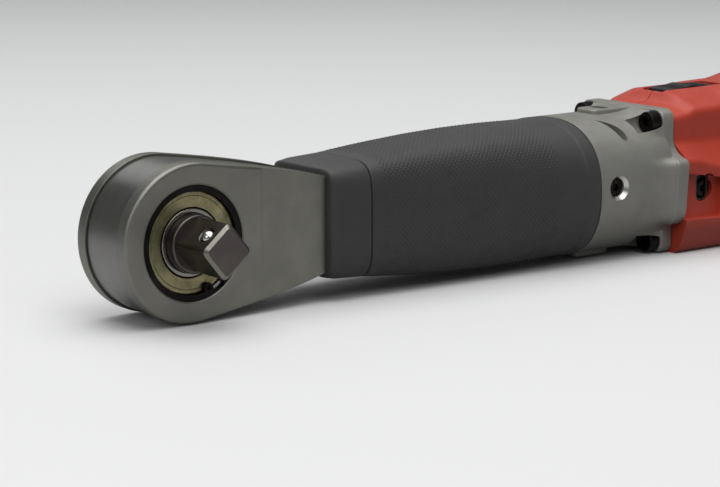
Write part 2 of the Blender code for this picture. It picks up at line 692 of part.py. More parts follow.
COLLAR = ((NECK_MOUTH_X, 0.0149, 0.0167, 14), (NECK_MOUTH_X + 0.0016, 0.0160, 0.0174, 9),
          (NECK_MOUTH_X + 0.0040, 0.0171, 0.0182, 6), (COLLAR_END_X - SEAT, 0.0175, 0.0190, 5))
COLLAR_INNER = ((NECK_MOUTH_X, 0.0140, 0.0159, 14), (NECK_END_X + 0.001, 0.0140, 0.0160, 12),
                (COLLAR_END_X - SEAT, 0.0148, 0.0163, 5))
SLEEVE = ((COLLAR_END_X, 0.0175, 0.0190, 5.0), (0.0820, 0.0188, 0.0206, 4.5), (0.1000, 0.0200, 0.0220, 4.0),
          (0.1150, 0.0212, 0.0228, 3.5), (0.1300, 0.0225, 0.0232, 3.0), (0.1430, 0.0242, 0.0232, 2.6),
          (0.1500, CASE_HALF_W - 0.0003, CASE_HALF_H - 0.0003, 2.45),
          (0.1510, CASE_HALF_W + 0.0002, CASE_HALF_H, 2.4), (SLEEVE_END_X, CASE_HALF_W + 0.0002, CASE_HALF_H, 2.4))


def make_boot():
    """Rubber boot: a collar on the neck and a long sleeve over the torque tube."""
    outer = [section(x, w, -h, h, n) for x, w, h, n in COLLAR]
    inner = [section(x, w, -h, h, n) for x, w, h, n in reversed(COLLAR_INNER)]
    add_object("boot_collar", skin(outer + inner, ring=True), RUBBER)
    outer = [section(x, w, -h, h, n) for x, w, h, n in SLEEVE]
    inner = [section(x, w - SLEEVE_WALL, SLEEVE_WALL - h, h - SLEEVE_WALL, n) for x, w, h, n in reversed(SLEEVE[::4])]
    add_object("boot_sleeve", skin(outer + inner, ring=True), RUBBER)


def softened(corners, steps):
    """A polygon whose corners are rounded; each corner is (u, v, setback), in order round it."""
    outline = []
    for i, (u, v, setback) in enumerate(corners):
        corner = Vector((u, v))
        back = (Vector(corners[i - 1][:2]) - corner).normalized() * setback
        ahead = (Vector(corners[(i + 1) % len(corners)][:2]) - corner).normalized() * setback
        for k in range(steps + 1):
            t = k / steps
            outline.append(tuple(corner + back * (1 - t) ** 2 + ahead * t * t))
    return outline


def flange_outline():
    """The casting's end flange: wide ears at mid height, a narrow waist over and under them."""
    right = [(WAIST_HALF_W, FLANGE_LOW_Z, 0.0030), (WAIST_HALF_W, EAR_LOW_Z, 0.0012),
             (EAR_HALF_W - 0.0012, EAR_LOW_Z, 0.0050), (EAR_HALF_W, EAR_TOP_Z, 0.0023),
             (WAIST_HALF_W, EAR_TOP_Z, 0.0055), (WAIST_HALF_W, FLANGE_TOP_Z, 0.0043)]
    left = [(-u, v, setback) for u, v, setback in reversed(right)]
    return softened(right + left, 4)


def case_screw_places():
    """Centres of the four case screws."""
    return [(side * y, z) for y, z in (UPPER_LUG, LOWER_LUG) for side in (-1, 1)]


def crescent_cutter():
    """The curved slit in the casting's shoulder, narrow at the top and wide at its lower end."""
    loops = []
    steps = 6
    surface = math.hypot(CASE_HALF_W, CASE_HALF_H) * 0.7500
    for k in range(steps + 1):
        t = k / steps
        angle = math.radians(113 + 28 * t)
        x = SLOT_START_X + (SLOT_END_X - SLOT_START_X) * t * t
        half = SLOT_WIDTH / 2 * (0.25 + 0.75 * math.sin(t * math.pi * 0.62))
        c, s = math.cos(angle), math.sin(angle)
        loops.append([(x + sign * half, radius * c, radius * s)
                      for sign, radius in ((-1, surface - SLOT_DEPTH), (1, surface - SLOT_DEPTH),
                                           (1, surface + 0.0040), (-1, surface + 0.0040))])
    return skin(loops)


def make_gear_case():
    """Aluminium casting that joins the boot to the housing, with its four screws."""
    stations = ((CASE_START_X, CASE_HALF_W, CASE_HALF_H, 2.4), (0.1820, CASE_HALF_W, CASE_HALF_H, 2.4),
                (FLANGE_X + 0.0010, CASE_HALF_W + 0.0010, CASE_HALF_H - 0.0004, 2.7))
    case = add_object("gear_case", skin([section(x, w, -h, h, n, 28) for x, w, h, n in stations]), CASTING)
    flange = plate(flange_outline(), [(FLANGE_X, 0.0006), (FLANGE_X + 0.0006, 0), (CASE_END_X, 0)], "X")
    apply_tool(case, flange, "UNION")
    spigot = skin([section(x, CASE_HALF_W - SLEEVE_WALL - SEAT, SLEEVE_WALL + SEAT - CASE_HALF_H,
                           CASE_HALF_H - SLEEVE_WALL - SEAT, 2.4) for x in (0.1525, CASE_START_X + 0.001)])
    apply_tool(case, spigot, "UNION")
    apply_tool(case, crescent_cutter())
    top = plate(rounded(PAD_X, FLANGE_X + 0.001, PAD_Y[0], PAD_Y[1], PAD_CORNER),
                [(CASE_HALF_H - 0.003, 0), (CASE_HALF_H + PAD_RISE - 0.0006, 0), (CASE_HALF_H + PAD_RISE, 0.0006)], "Z")
    apply_tool(case, top, "UNION")
    foot = plate(rounded(FOOT_X[0], FOOT_X[1], -FOOT_HALF_W, FOOT_HALF_W, PAD_CORNER),
                 [(-CASE_HALF_H - 0.0010, 0.0006), (-CASE_HALF_H - 0.0005, 0), (-CASE_HALF_H + 0.003, 0)], "Z")
    apply_tool(case, foot, "UNION")
    recess = plate(rounded(PAD_RECESS_X[0], PAD_RECESS_X[1], PAD_RECESS_Y[0], PAD_RECESS_Y[1], 0.0018),
                   [(CASE_HALF_H - 0.0006, 0), (CASE_HALF_H + 0.0050, 0)], "Z")
    apply_tool(case, recess)

    chamber = [(0, CASE_START_X + CASE_FRONT_WALL), (CASE_BORE, CASE_START_X + CASE_FRONT_WALL),
               (CASE_BORE, CASE_END_X + OVER), (0, CASE_END_X + OVER)]
    apply_tool(case, turned(chamber, "X"), at=(0, DRIVE_LINE_Y, 0))
    apply_tool(case, cylinder(TUBE_REAR_FLANGE + SEAT, 0.1500, TUBE_END_X + SEAT, "X", ROUND),
               at=(0, DRIVE_LINE_Y, 0))
    apply_tool(case, cylinder(TUBE_BORE, 0.1500, PLANET_X, "X"), at=(0, DRIVE_LINE_Y, 0))
    outside = -CASE_HALF_W - 0.0045
    port = [(0, outside), (PORT_RADIUS + 0.0055, outside), (PORT_RADIUS + 0.0012, -CASE_HALF_W + 0.0001),
            (PORT_RADIUS, -CASE_HALF_W + 0.0013), (PORT_RADIUS, -CASE_BORE - 0.0006), (0, -CASE_BORE - 0.0006)]
    apply_tool(case, turned(port, "Y", 20), at=(PORT_X, 0, PORT_Z))
    for y, z in case_screw_places():
        seat = FLANGE_X + SPOT_FACE
        hole = [(0, FLANGE_X - 0.0140), (SCREW_HEAD + 0.0004, FLANGE_X - 0.0140), (SCREW_HEAD + 0.0004, seat),
                (SCREW_SHANK + SEAT, seat), (SCREW_SHANK + SEAT, CASE_END_X + OVER), (0, CASE_END_X + OVER)]
        apply_tool(case, turned(hole, "X", SMALL_ROUND), at=(0, y, z))

    for index, (y, z) in enumerate(case_screw_places()):
        add_object("case_screw_%d" % (index + 1), cap_screw(CASE_SCREW_REACH), BLACK_STEEL, (FLANGE_X + SPOT_FACE, y, z))


def cap_screw(reach):
    """A socket-head cap screw along X whose seat is at x = 0 and head points to -X."""
    head = SCREW_HEAD_LENGTH
    socket = 0.0017
    low = -head - SEAT
    end = CASE_END_X - FLANGE_X - SPOT_FACE + reach
    profile = [(0, low + 0.0022), (socket, low + 0.0018), (socket, low), (SCREW_HEAD - 0.0004, low),
               (SCREW_HEAD, low + 0.0004), (SCREW_HEAD, -SEAT), (SCREW_SHANK, -SEAT), (SCREW_SHANK, end), (0, end)]
    return turned(profile, "X", SMALL_ROUND)


def make_planetary():
    """Fixed ring gear, carrier with its pins, three planets and the sun."""
    hole = gear_outline(RING_TEETH, PLANET_MODULE, 1.2 * PLANET_MODULE, 0.9 * PLANET_MODULE, -PLANET_LASH, 2)
    low, high = PLANET_X - 0.0010, PLANET_X + PLANET_FACE + 0.0010
    ring = add_object("ring_gear", cylinder(CASE_BORE - SEAT, low, high, "X", ROUND), STEEL, (0, DRIVE_LINE_Y, 0))
    apply_tool(ring, plate(hole, [(low - OVER, 0), (high + OVER, 0)], "X"), at=(0, DRIVE_LINE_Y, 0))

    front = PLANET_X - SEAT - CARRIER_THICK
    disc = tube(SHAFT_RADIUS + SEAT, PLANET_ORBIT + PLANET_PIN + 0.0015, front, PLANET_X - SEAT, "X", 24, 0.0006)
    carrier = add_object("planet_carrier", disc, STEEL, (0, DRIVE_LINE_Y, 0))
    outline_size = {"addendum": 0.95 * PLANET_MODULE, "dedendum": 1.2 * PLANET_MODULE}
    for index in range(PLANET_COUNT):
        angle = 2 * math.pi * index / PLANET_COUNT
        y = DRIVE_LINE_Y + PLANET_ORBIT * math.cos(angle)
        z = PLANET_ORBIT * math.sin(angle)
        pin = cylinder(PLANET_PIN, PLANET_X - 0.002, PLANET_X + PLANET_FACE + 0.0008, "X", 12)
        apply_tool(carrier, pin, "UNION", (0, y, z))
        turn = angle + math.pi * (1 + 1 / PLANET_TEETH) + angle * SUN_TEETH / PLANET_TEETH
        outline = gear_outline(PLANET_TEETH, PLANET_MODULE, lash=PLANET_LASH, points=3, turn=turn, **outline_size)
        planet = add_object("planet_gear_%d" % (index + 1),
                            plate(outline, [(PLANET_X, 0), (PLANET_X + PLANET_FACE, 0)], "X"), STEEL, (0, y, z))
        apply_tool(planet, cylinder(PLANET_PIN + RUN, PLANET_X - OVER, PLANET_X + PLANET_FACE + OVER, "X", 12),
                   at=(0, y, z))

    outline = gear_outline(SUN_TEETH, PLANET_MODULE, lash=PLANET_LASH, points=3, **outline_size)
    sun = add_object("sun_gear", plate(outline, [(PLANET_X + SEAT, 0), (PLANET_X + PLANET_FACE, 0)], "X"),
                     STEEL, (0, DRIVE_LINE_Y, 0))
    apply_tool(sun, cylinder(MOTOR_SHAFT + SEAT, PLANET_X - OVER, PLANET_X + PLANET_FACE + OVER, "X"),
               at=(0, DRIVE_LINE_Y, 0))


def make_motor():
    """Front plate, stator, rotor on its shaft, fan and rear bearing."""
    low = PLANET_X + PLANET_FACE + 0.0010 + SEAT
    profile = [(MOTOR_SHAFT + RUN, low + 0.0020), (REAR_BEARING_RADIUS, low + 0.0020), (CASE_BORE - SEAT, low),
               (CASE_BORE - SEAT, HOUSING_START_X), (MOTOR_RADIUS, HOUSING_START_X), (MOTOR_RADIUS, MOTOR_X - SEAT),
               (MOTOR_RADIUS - SKIRT_WALL, MOTOR_X - SEAT), (MOTOR_RADIUS - SKIRT_WALL, HOUSING_START_X),
               (MOTOR_SHAFT + RUN, HOUSING_START_X)]
    bracket = add_object("motor_bracket", turned(profile, "X"), CASTING, (0, DRIVE_LINE_Y, 0))
    tapped = cylinder(SCREW_THREAD + SEAT, -MOTOR_RADIUS - OVER, SKIRT_WALL - MOTOR_RADIUS + OVER, "Y", 16)
    apply_tool(bracket, tapped, at=(BRACKET_SCREW[0], DRIVE_LINE_Y, BRACKET_SCREW[1]))

    end = MOTOR_X + MOTOR_LENGTH
    add_object("motor_stator", tube(MOTOR_BORE, MOTOR_RADIUS, MOTOR_X, end, "X", ROUND), COPPER,
               (0, DRIVE_LINE_Y, 0))
    core = MOTOR_BORE - 2 * RUN
    shaft_end = REAR_BEARING_X + REAR_BEARING_WIDTH + 0.001
    profile = [(0, PLANET_X + 0.001), (MOTOR_SHAFT, PLANET_X + 0.001), (MOTOR_SHAFT, MOTOR_X + 0.002),
               (core, MOTOR_X + 0.002), (core, end - 0.002), (MOTOR_SHAFT, end - 0.002),
               (MOTOR_SHAFT, shaft_end), (0, shaft_end)]
    add_object("motor_rotor", turned(profile, "X", 20), DARK_STEEL, (0, DRIVE_LINE_Y, 0))

    rear = FAN_X + FAN_WIDTH
    profile = [(MOTOR_SHAFT + SEAT, FAN_X), (0.0070, FAN_X), (0.0070, rear - 0.0015),
               (MOTOR_RADIUS - 0.0010, rear - 0.0015), (MOTOR_RADIUS - 0.0010, rear), (MOTOR_SHAFT + SEAT, rear)]
    fan = add_object("motor_fan", turned(profile, "X", 18), BLACK_PLASTIC, (0, DRIVE_LINE_Y, 0))
    for k in range(FAN_BLADES):
        blade = block((FAN_X, 0.0060, -0.0006), (FAN_X + FAN_WIDTH - 0.0010, MOTOR_RADIUS - 0.0016, 0.0006))
        turn = Matrix.Rotation(2 * math.pi * k / FAN_BLADES, 3, "X")
        bmesh.ops.rotate(blade, cent=(0, 0, 0), matrix=turn, verts=blade.verts)
        apply_tool(fan, blade, "UNION", (0, DRIVE_LINE_Y, 0))
    bearing = tube(MOTOR_SHAFT + RUN, REAR_BEARING_RADIUS, REAR_BEARING_X, REAR_BEARING_X + REAR_BEARING_WIDTH,
                   "X", 20, 0.0004)
    add_object("motor_rear_bearing", bearing, BRIGHT_STEEL, (0, DRIVE_LINE_Y, 0))


# Housing stations: place along X, half width, lowest point, highest point, corner radius
HOUSING = ((HOUSING_START_X, CASE_HALF_W + 0.0022, FLOOR_Z, CASE_HALF_H + 0.0010, 0.0060),
           (0.1990, CASE_HALF_W + 0.0024, FLOOR_Z, CASE_HALF_H + 0.0018, 0.0065),
           (0.2050, CASE_HALF_W + 0.0026, FLOOR_Z, CASE_HALF_H + 0.0070, 0.0075),
           (0.2200, CASE_HALF_W + 0.0030, FLOOR_Z, CASE_HALF_H + 0.0079, 0.0090),
           (0.2700, 0.0300, FLOOR_Z, 0.0315, 0.0100),
           (0.3200, 0.0300, FLOOR_Z, 0.0300, 0.0110), (0.3460, 0.0205, -0.0222, 0.0235, 0.0140),
           (0.3640, 0.0185, -0.0205, 0.0215, 0.0150), (0.4540, 0.0190, -0.0210, 0.0215, 0.0150),
           (0.4740, 0.0215, -0.0235, 0.0245, 0.0130), (0.4900, 0.0320, FLOOR_Z, 0.0390, 0.0080),
           (HOUSING_END_X, 0.0340, FLOOR_Z, PACK_TOP, 0.0070))
# Front stations: place along X, depth of the sunk band, shoulder's height outside and inside
SHOULDER = ((HOUSING_START_X, 0.0072, 0.0078, 0.0135), (0.2200, 0.0076, 0.0030, 0.0128),
            (0.2320, 0.0, 0.0, 0.0040), (HOUSING_END_X, 0.0, 0.0, 0.0040))
# Front stations: place along X, then drop and run of the roof's slope and of the keel's
SLOPES = ((HOUSING_START_X, 0.0020, 0.0070, 0.0110, 0.0045), (0.1990, 0.0022, 0.0085, 0.0110, 0.0045),
          (0.2050, 0.0062, 0.0118, 0.0110, 0.0045),
          (0.2200, 0.0066, 0.0118, 0.0110, 0.0045), (0.2400, 0.0066, 0.0120, 0.0080, 0.0050),
          (0.2700, 0.0059, 0.0059, 0.0059, 0.0059))
HOUSING_RINGS = (HOUSING_START_X, 0.1970, 0.1990, 0.2010, 0.2030, 0.2050, 0.2120, 0.2200, 0.2240, 0.2280, 0.2320, 0.2400, 0.2550, 0.2700,
                 0.3000, 0.3200, 0.3270, 0.3330, 0.3400, 0.3460, 0.3550, 0.3640, 0.4000, 0.4540, 0.4640, 0.4740,
                 0.4800, 0.4850, 0.4900, HOUSING_END_X)
ARC_CORNER = 2 - math.sqrt(2)
ARC_SETBACK = 0.99 * (math.sqrt(2) - 1)
GRIP_RANGE = (0.3640, 0.4640)
GRIP_SINK = 0.0018


def housing_profile(x, grow):
    """One side of the housing's section at a place as (y, z), bottom to top, drawn out by a wall."""
    width, low, high, radius = eased(HOUSING, x)
    inset_y, outside_z, inside_z = eased(SHOULDER, x)
    width, low, high, radius = width + grow, low - grow, high + grow, max(radius + grow, 0.001)
    corner = radius * ARC_CORNER
    drop, run, keel_drop, keel_run = (corner,) * 4
    if x < SLOPES[-1][0]:
        drop, run, keel_drop, keel_run = eased(SLOPES, x)
    setback = radius * ARC_SETBACK
    corners = [(0, low, 0), (width - keel_run, low, min(setback, 0.0030)), (width, low + keel_drop, setback),
               (width, outside_z, 0.0016), (width - inset_y, inside_z, 0.0016),
               (width - inset_y, high - drop, min(setback, 0.0024)), (width - inset_y - run, high, setback),
               (0, high, 0)]
    points = softened(corners, 2)
    return points[2:-2]


def housing_half(side):
    """The outer form of one moulded half, up to the parting plane."""
    gap = SEAT / 2
    loops = []
    for x in HOUSING_RINGS:
        loops.append([(x, side * max(y, gap), z) for y, z in housing_profile(x, 0)])
    return skin(loops)


def housing_bay(low, high, steps):
    """A hollow inside the housing that leaves an even wall."""
    loops = []
    for k in range(steps + 1):
        x = low + (high - low) * k / steps
        right = housing_profile(x, -WALL)
        left = [(-y, z) for y, z in reversed(right[1:-1])]
        loops.append([(x, y, z) for y, z in right + left])
    return skin(loops)


def housing_side_y(x):
    """Half width of the housing at a place."""
    return eased(HOUSING, x)[0]


def make_housing():
    """Two moulded halves, the grip covers on them and the screws that close them."""
    for side, name in ((-1, "housing_left"), (1, "housing_right")):
        half = add_object(name, housing_half(side), RED_PLASTIC)
        cut_housing_inside(half, side)
        if side < 0:
            cut_left_side(half)
        else:
            cut_right_side(half)

    add_housing_screw("bracket_screw", BRACKET_SCREW, DRIVE_LINE_Y - MOTOR_RADIUS + SKIRT_WALL - 0.0005,
                      RECESS_DEPTH + RECESS_SCREW_SINK)
    for index, spot in enumerate(HOUSING_SCREW_PLACES):
        add_housing_screw("housing_screw_%d" % (index + 1), spot, 0.0060)
    make_grip_covers()


def add_housing_screw(name, spot, tip_y, sink=HOUSING_SCREW_SINK):
    """A pan-head screw along Y, sunk into the left half, whose thread ends at a given place."""
    x, z = spot
    head_y = sink - housing_side_y(x)
    neck_y = head_y + HOUSING_SCREW_HEIGHT
    profile = [(0, head_y + 0.0016), (0.0013, head_y + 0.0013), (0.0013, head_y),
               (HOUSING_SCREW_HEAD - 0.0006, head_y), (HOUSING_SCREW_HEAD, head_y + 0.0006),
               (HOUSING_SCREW_HEAD, neck_y), (SCREW_THREAD, neck_y), (SCREW_THREAD, tip_y), (0, tip_y)]
    add_object(name, turned(profile, "Y", SMALL_ROUND), BLACK_STEEL, (x, 0, z))


def housing_screw_hole(x, tip_y, sink=HOUSING_SCREW_SINK):
    """The counterbored hole for a housing screw."""
    side = -housing_side_y(x)
    neck_y = side + sink + HOUSING_SCREW_HEIGHT + SEAT
    profile = [(0, side - 0.004), (HOUSING_SCREW_HEAD + 0.0004, side - 0.004), (HOUSING_SCREW_HEAD + 0.0004, neck_y),
               (SCREW_THREAD + SEAT, neck_y), (SCREW_THREAD + SEAT, tip_y), (0, tip_y)]
    return turned(profile, "Y", SMALL_ROUND)


def cut_housing_inside(half, side):
    """Motor bore, bearing seat, electronics bay, switch bay, grip hollow and the cable way."""
    line = (0, DRIVE_LINE_Y, 0)
    bore = MOTOR_RADIUS + SEAT
    fan_end = FAN_X + FAN_WIDTH + 0.0010
    seat_end = REAR_BEARING_X + REAR_BEARING_WIDTH + SEAT
    profile = [(0, HOUSING_START_X - OVER), (bore, HOUSING_START_X - OVER), (bore, fan_end),
               (REAR_BEARING_RADIUS + SEAT, fan_end),
               (REAR_BEARING_RADIUS + SEAT, seat_end), (0.0045, seat_end), (0.0045, BAY_START_X + OVER),
               (0, BAY_START_X + OVER)]
    apply_tool(half, turned(profile, "X"), at=line)
    apply_tool(half, housing_bay(BAY_START_X, BAY_END_X, 3))
    apply_tool(half, housing_bay(SWITCH_BAY[0], SWITCH_BAY[1], 2))
    apply_tool(half, housing_bay(GRIP_BAY[0], GRIP_BAY[1], 6))
    apply_tool(half, cylinder(CABLE_WAY, BAY_END_X - 0.004, HOUSING_END_X + OVER, "X"), at=(0, 0, CABLE_WAY_Z))
    for y, z in case_screw_places():
        hole = cylinder(SCREW_SHANK + SEAT, HOUSING_START_X - OVER, CASE_END_X + CASE_SCREW_REACH + 0.001, "X", 16)
        apply_tool(half, hole, at=(0, y, z))
    hole = housing_screw_hole(BRACKET_SCREW[0], -MOTOR_BORE, RECESS_DEPTH + RECESS_SCREW_SINK)
    apply_tool(half, hole, at=(BRACKET_SCREW[0], 0, BRACKET_SCREW[1]))
    for x, z in HOUSING_SCREW_PLACES:
        reach = side * (housing_side_y(x) - WALL + 0.0005)
        near, far = sorted((side * 2 * SEAT, reach))
        boss = cylinder(HOUSING_SCREW_HEAD + 0.0014, near, far, "Y", 14)
        apply_tool(half, boss, "UNION", (x, 0, z))
        apply_tool(half, housing_screw_hole(x, 0.0070), at=(x, 0, z))
    top = eased(HOUSING, SELECTOR_X)[2]
    slot = block((SELECTOR_X - SELECTOR_LENGTH / 2 - SELECTOR_TRAVEL - RUN, -SELECTOR_WIDTH / 2 - RUN, 0.0262),
                 (SELECTOR_X + SELECTOR_LENGTH / 2 + SELECTOR_TRAVEL + RUN, SELECTOR_WIDTH / 2 + RUN, top + 0.01))
    apply_tool(half, slot)
    cut_battery_rail(half)
    trigger_low, trigger_high = TRIGGER_PIN_X - 0.0040, TRIGGER_PIN_X + TRIGGER_LENGTH + 0.0006
    window = block((trigger_low, -0.0300, -TRIGGER_WIDTH / 2 - RUN), (trigger_high, -0.0085, TRIGGER_WIDTH / 2 + RUN))
    apply_tool(half, window)
    pin = cylinder(TRIGGER_PIN + SEAT, -TRIGGER_WIDTH / 2 - 0.0034, TRIGGER_WIDTH / 2 + 0.0034, "Z", 16)
    apply_tool(half, pin, at=(TRIGGER_PIN_X, TRIGGER_PIN_Y, 0))


def cut_left_side(half):
    """The screw's recess on the -Y side of the housing, open to the casting's flange."""
    front = HOUSING_START_X - OVER
    floor = RECESS_DEPTH - housing_side_y(BRACKET_SCREW[0])
    corners = [(front, -0.0125, 0.0), (0.2140, -0.0135, 0.0020), (0.2140, 0.0005, 0.0020), (front, 0.0040, 0.0)]
    recess = plate(softened(corners, 2)[2:-2], [(floor - 0.0200, 0), (floor - 0.0008, 0), (floor, 0.0008)], "Y")
    apply_tool(half, recess)


def cut_right_side(half):
    """Openings for the display frame and the buttons on the +Y side."""
    bezel = display_outline(BEZEL_FRAME + SEAT)
    face = housing_side_y(DISPLAY_X)
    apply_tool(half, plate(bezel, [(face - BEZEL_DEPTH - SEAT, 0), (face + 0.01, 0)], "Y"))
    for x in BUTTON_X:
        hole = cylinder(BUTTON_RADIUS + RUN, face - WALL - 0.004, face + 0.01, "Y", 24)
        apply_tool(half, hole, at=(x, 0, BUTTON_Z))


def display_outline(grow):
    """The display's outline in X, Z, larger than the glass by a frame."""
    return rounded(DISPLAY_X - DISPLAY_LENGTH / 2 - grow, DISPLAY_X + DISPLAY_LENGTH / 2 + grow,
                   DISPLAY_Z - DISPLAY_HEIGHT / 2 - grow, DISPLAY_Z + DISPLAY_HEIGHT / 2 + grow, 0.002 + grow)


def cut_battery_rail(half):
    """The slide way for the pack's rail: a tee slot along Y in the housing's end."""
    middle = (FLOOR_Z + PACK_TOP) / 2
    end = HOUSING_END_X
    neck, head = RAIL_NECK + RUN, RAIL_HEAD + RUN
    outline = [(end + OVER, middle - neck), (end + OVER, middle + neck), (end - 0.0034, middle + neck),
               (end - 0.0034, middle + head), (end - RAIL_DEPTH - RUN, middle + head),
               (end - RAIL_DEPTH - RUN, middle - head), (end - 0.0034, middle - head), (end - 0.0034, middle - neck)]
    apply_tool(half, plate(outline, [(-0.0500, 0), (0.0250, 0)], "Y"))


def make_grip_covers():
    """Soft covers moulded over each side of the grip; the left one leaves the trigger free."""
    for side, name in ((-1, "grip_cover_left"), (1, "grip_cover_right")):
        low, high = GRIP_RANGE
        if side < 0:
            low = TRIGGER_PIN_X + TRIGGER_LENGTH + 0.006
        loops = []
        for k in range(7):
            x = low + (high - low) * k / 6
            rise = GRIP_SINK * math.sin(math.pi * k / 6) ** 0.35 if 0 < k < 6 else 0.0006
            outer = housing_profile(x, rise)[3:-3]
            inner = housing_profile(x, SEAT)[3:-3]
            loops.append([(x, side * y, z) for y, z in outer + list(reversed(inner))])
        add_object(name, skin(loops), RUBBER)


def make_display():
    """Frame, lens, panel and control board on the +Y side, with buttons and a status light."""
    face = housing_side_y(DISPLAY_X)
    back = face - BEZEL_DEPTH
    frame = plate(display_outline(BEZEL_FRAME), [(back, 0), (face + BEZEL_PROUD - 0.0006, 0),
                                                 (face + BEZEL_PROUD, 0.0006)], "Y")
    bezel = add_object("display_bezel", frame, BLACK_PLASTIC)
    glass = face + BEZEL_PROUD - 0.0004
    window = plate(display_outline(0), [(glass - LENS_THICK - SEAT, 0), (face + 0.01, 0)], "Y")
    apply_tool(bezel, window)
    opening = plate(display_outline(-0.0012), [(back - OVER, 0), (face, 0)], "Y")
    apply_tool(bezel, opening)
    add_object("display_lens", plate(display_outline(-SEAT), [(glass - LENS_THICK, 0), (glass, 0)], "Y"), LENS)
    panel_top = glass - LENS_THICK - 2 * SEAT
    panel = plate(display_outline(-0.0012 - SEAT), [(panel_top - PANEL_THICK, 0), (panel_top, 0)], "Y")
    add_object("display_panel", panel, PANEL)
    board_top = back - SEAT
    board = block((BAY_START_X + 0.0006, board_top - BOARD_THICK, BUTTON_Z - 0.0030),
                  (BAY_END_X - 0.0100, board_top, DISPLAY_Z + DISPLAY_HEIGHT / 2), 0.0)
    add_object("control_board", board, BOARD_GREEN)
    for x, name in zip(BUTTON_X, ("button_down", "button_power", "button_up")):
        top = face + BUTTON_PROUD
        low = board_top + SEAT + BUTTON_TRAVEL
        profile = [(0, low), (0.0015, low), (0.0015, top - BUTTON_STEM), (BUTTON_RADIUS, top - BUTTON_STEM),
                   (BUTTON_RADIUS, top - 0.0008), (BUTTON_RADIUS - 0.0008, top), (0, top)]
        add_object(name, turned(profile, "Y", 16), BLACK_PLASTIC, (x, 0, BUTTON_Z))


def make_controls():
    """Direction selector, trigger paddle with its pin, switch and spring."""
    base = 0.0262 + SEAT
    outline = [(SELECTOR_X - SELECTOR_LENGTH / 2, base), (SELECTOR_X + SELECTOR_LENGTH / 2, base),
               (SELECTOR_X + SELECTOR_LENGTH / 2, 0.0309), (SELECTOR_X + 0.0020, 0.0312),
               (SELECTOR_X, 0.0318), (SELECTOR_X - 0.0020, 0.0312), (SELECTOR_X - SELECTOR_LENGTH / 2, 0.0309)]
    half = SELECTOR_WIDTH / 2
    add_object("direction_selector", plate(outline, [(-half, 0), (half, 0)], "Y"), BLACK_PLASTIC)

    half = TRIGGER_WIDTH / 2
    far = TRIGGER_PIN_X + TRIGGER_LENGTH
    crest = -0.0255
    outline = [(TRIGGER_PIN_X - 0.0028, TRIGGER_PIN_Y + 0.0028), (TRIGGER_PIN_X - 0.0028, -0.0195),
               (TRIGGER_PIN_X + 0.0080, -0.0228), (TRIGGER_PIN_X + 0.0240, crest), (far - 0.0080, crest + 0.0006),
               (far, -0.0222), (far, -0.0175), (TRIGGER_PIN_X + 0.0060, TRIGGER_PIN_Y + 0.0028)]
    paddle = plate([(x - TRIGGER_PIN_X, y - TRIGGER_PIN_Y) for x, y in outline],
                   [(-half, 0.0008), (-half + 0.0008, 0), (half - 0.0008, 0), (half, 0.0008)], "Z")
    place = (TRIGGER_PIN_X, TRIGGER_PIN_Y, 0)
    trigger = add_object("trigger_paddle", paddle, BLACK_PLASTIC, place)
    apply_tool(trigger, cylinder(TRIGGER_PIN + RUN, -half - OVER, half + OVER, "Z", 16), at=place)
    add_object("trigger_pin", cylinder(TRIGGER_PIN, -half - 0.0030, half + 0.0030, "Z", 16), BRIGHT_STEEL, place)

    low_x, high_x = SWITCH_BAY[0] + SEAT, SWITCH_BAY[1] - SEAT
    switch = block((low_x, -0.0065, -0.0070), (high_x, 0.0085, 0.0000), 0.001)
    add_object("trigger_switch", switch, BLACK_PLASTIC)
    root_x, root_y = outline[-1]
    tip_x, tip_y = outline[-2]
    paddle_y = root_y + (tip_y - root_y) * (TRIGGER_SPRING_X - root_x) / (tip_x - root_x)
    wire = 0.0004
    make_spring("trigger_spring", 0.0028, wire, paddle_y + 2 * wire, -0.0065 - SEAT - wire, 4, Vector((0, 1, 0)),
                (TRIGGER_SPRING_X, 0, -0.0032))


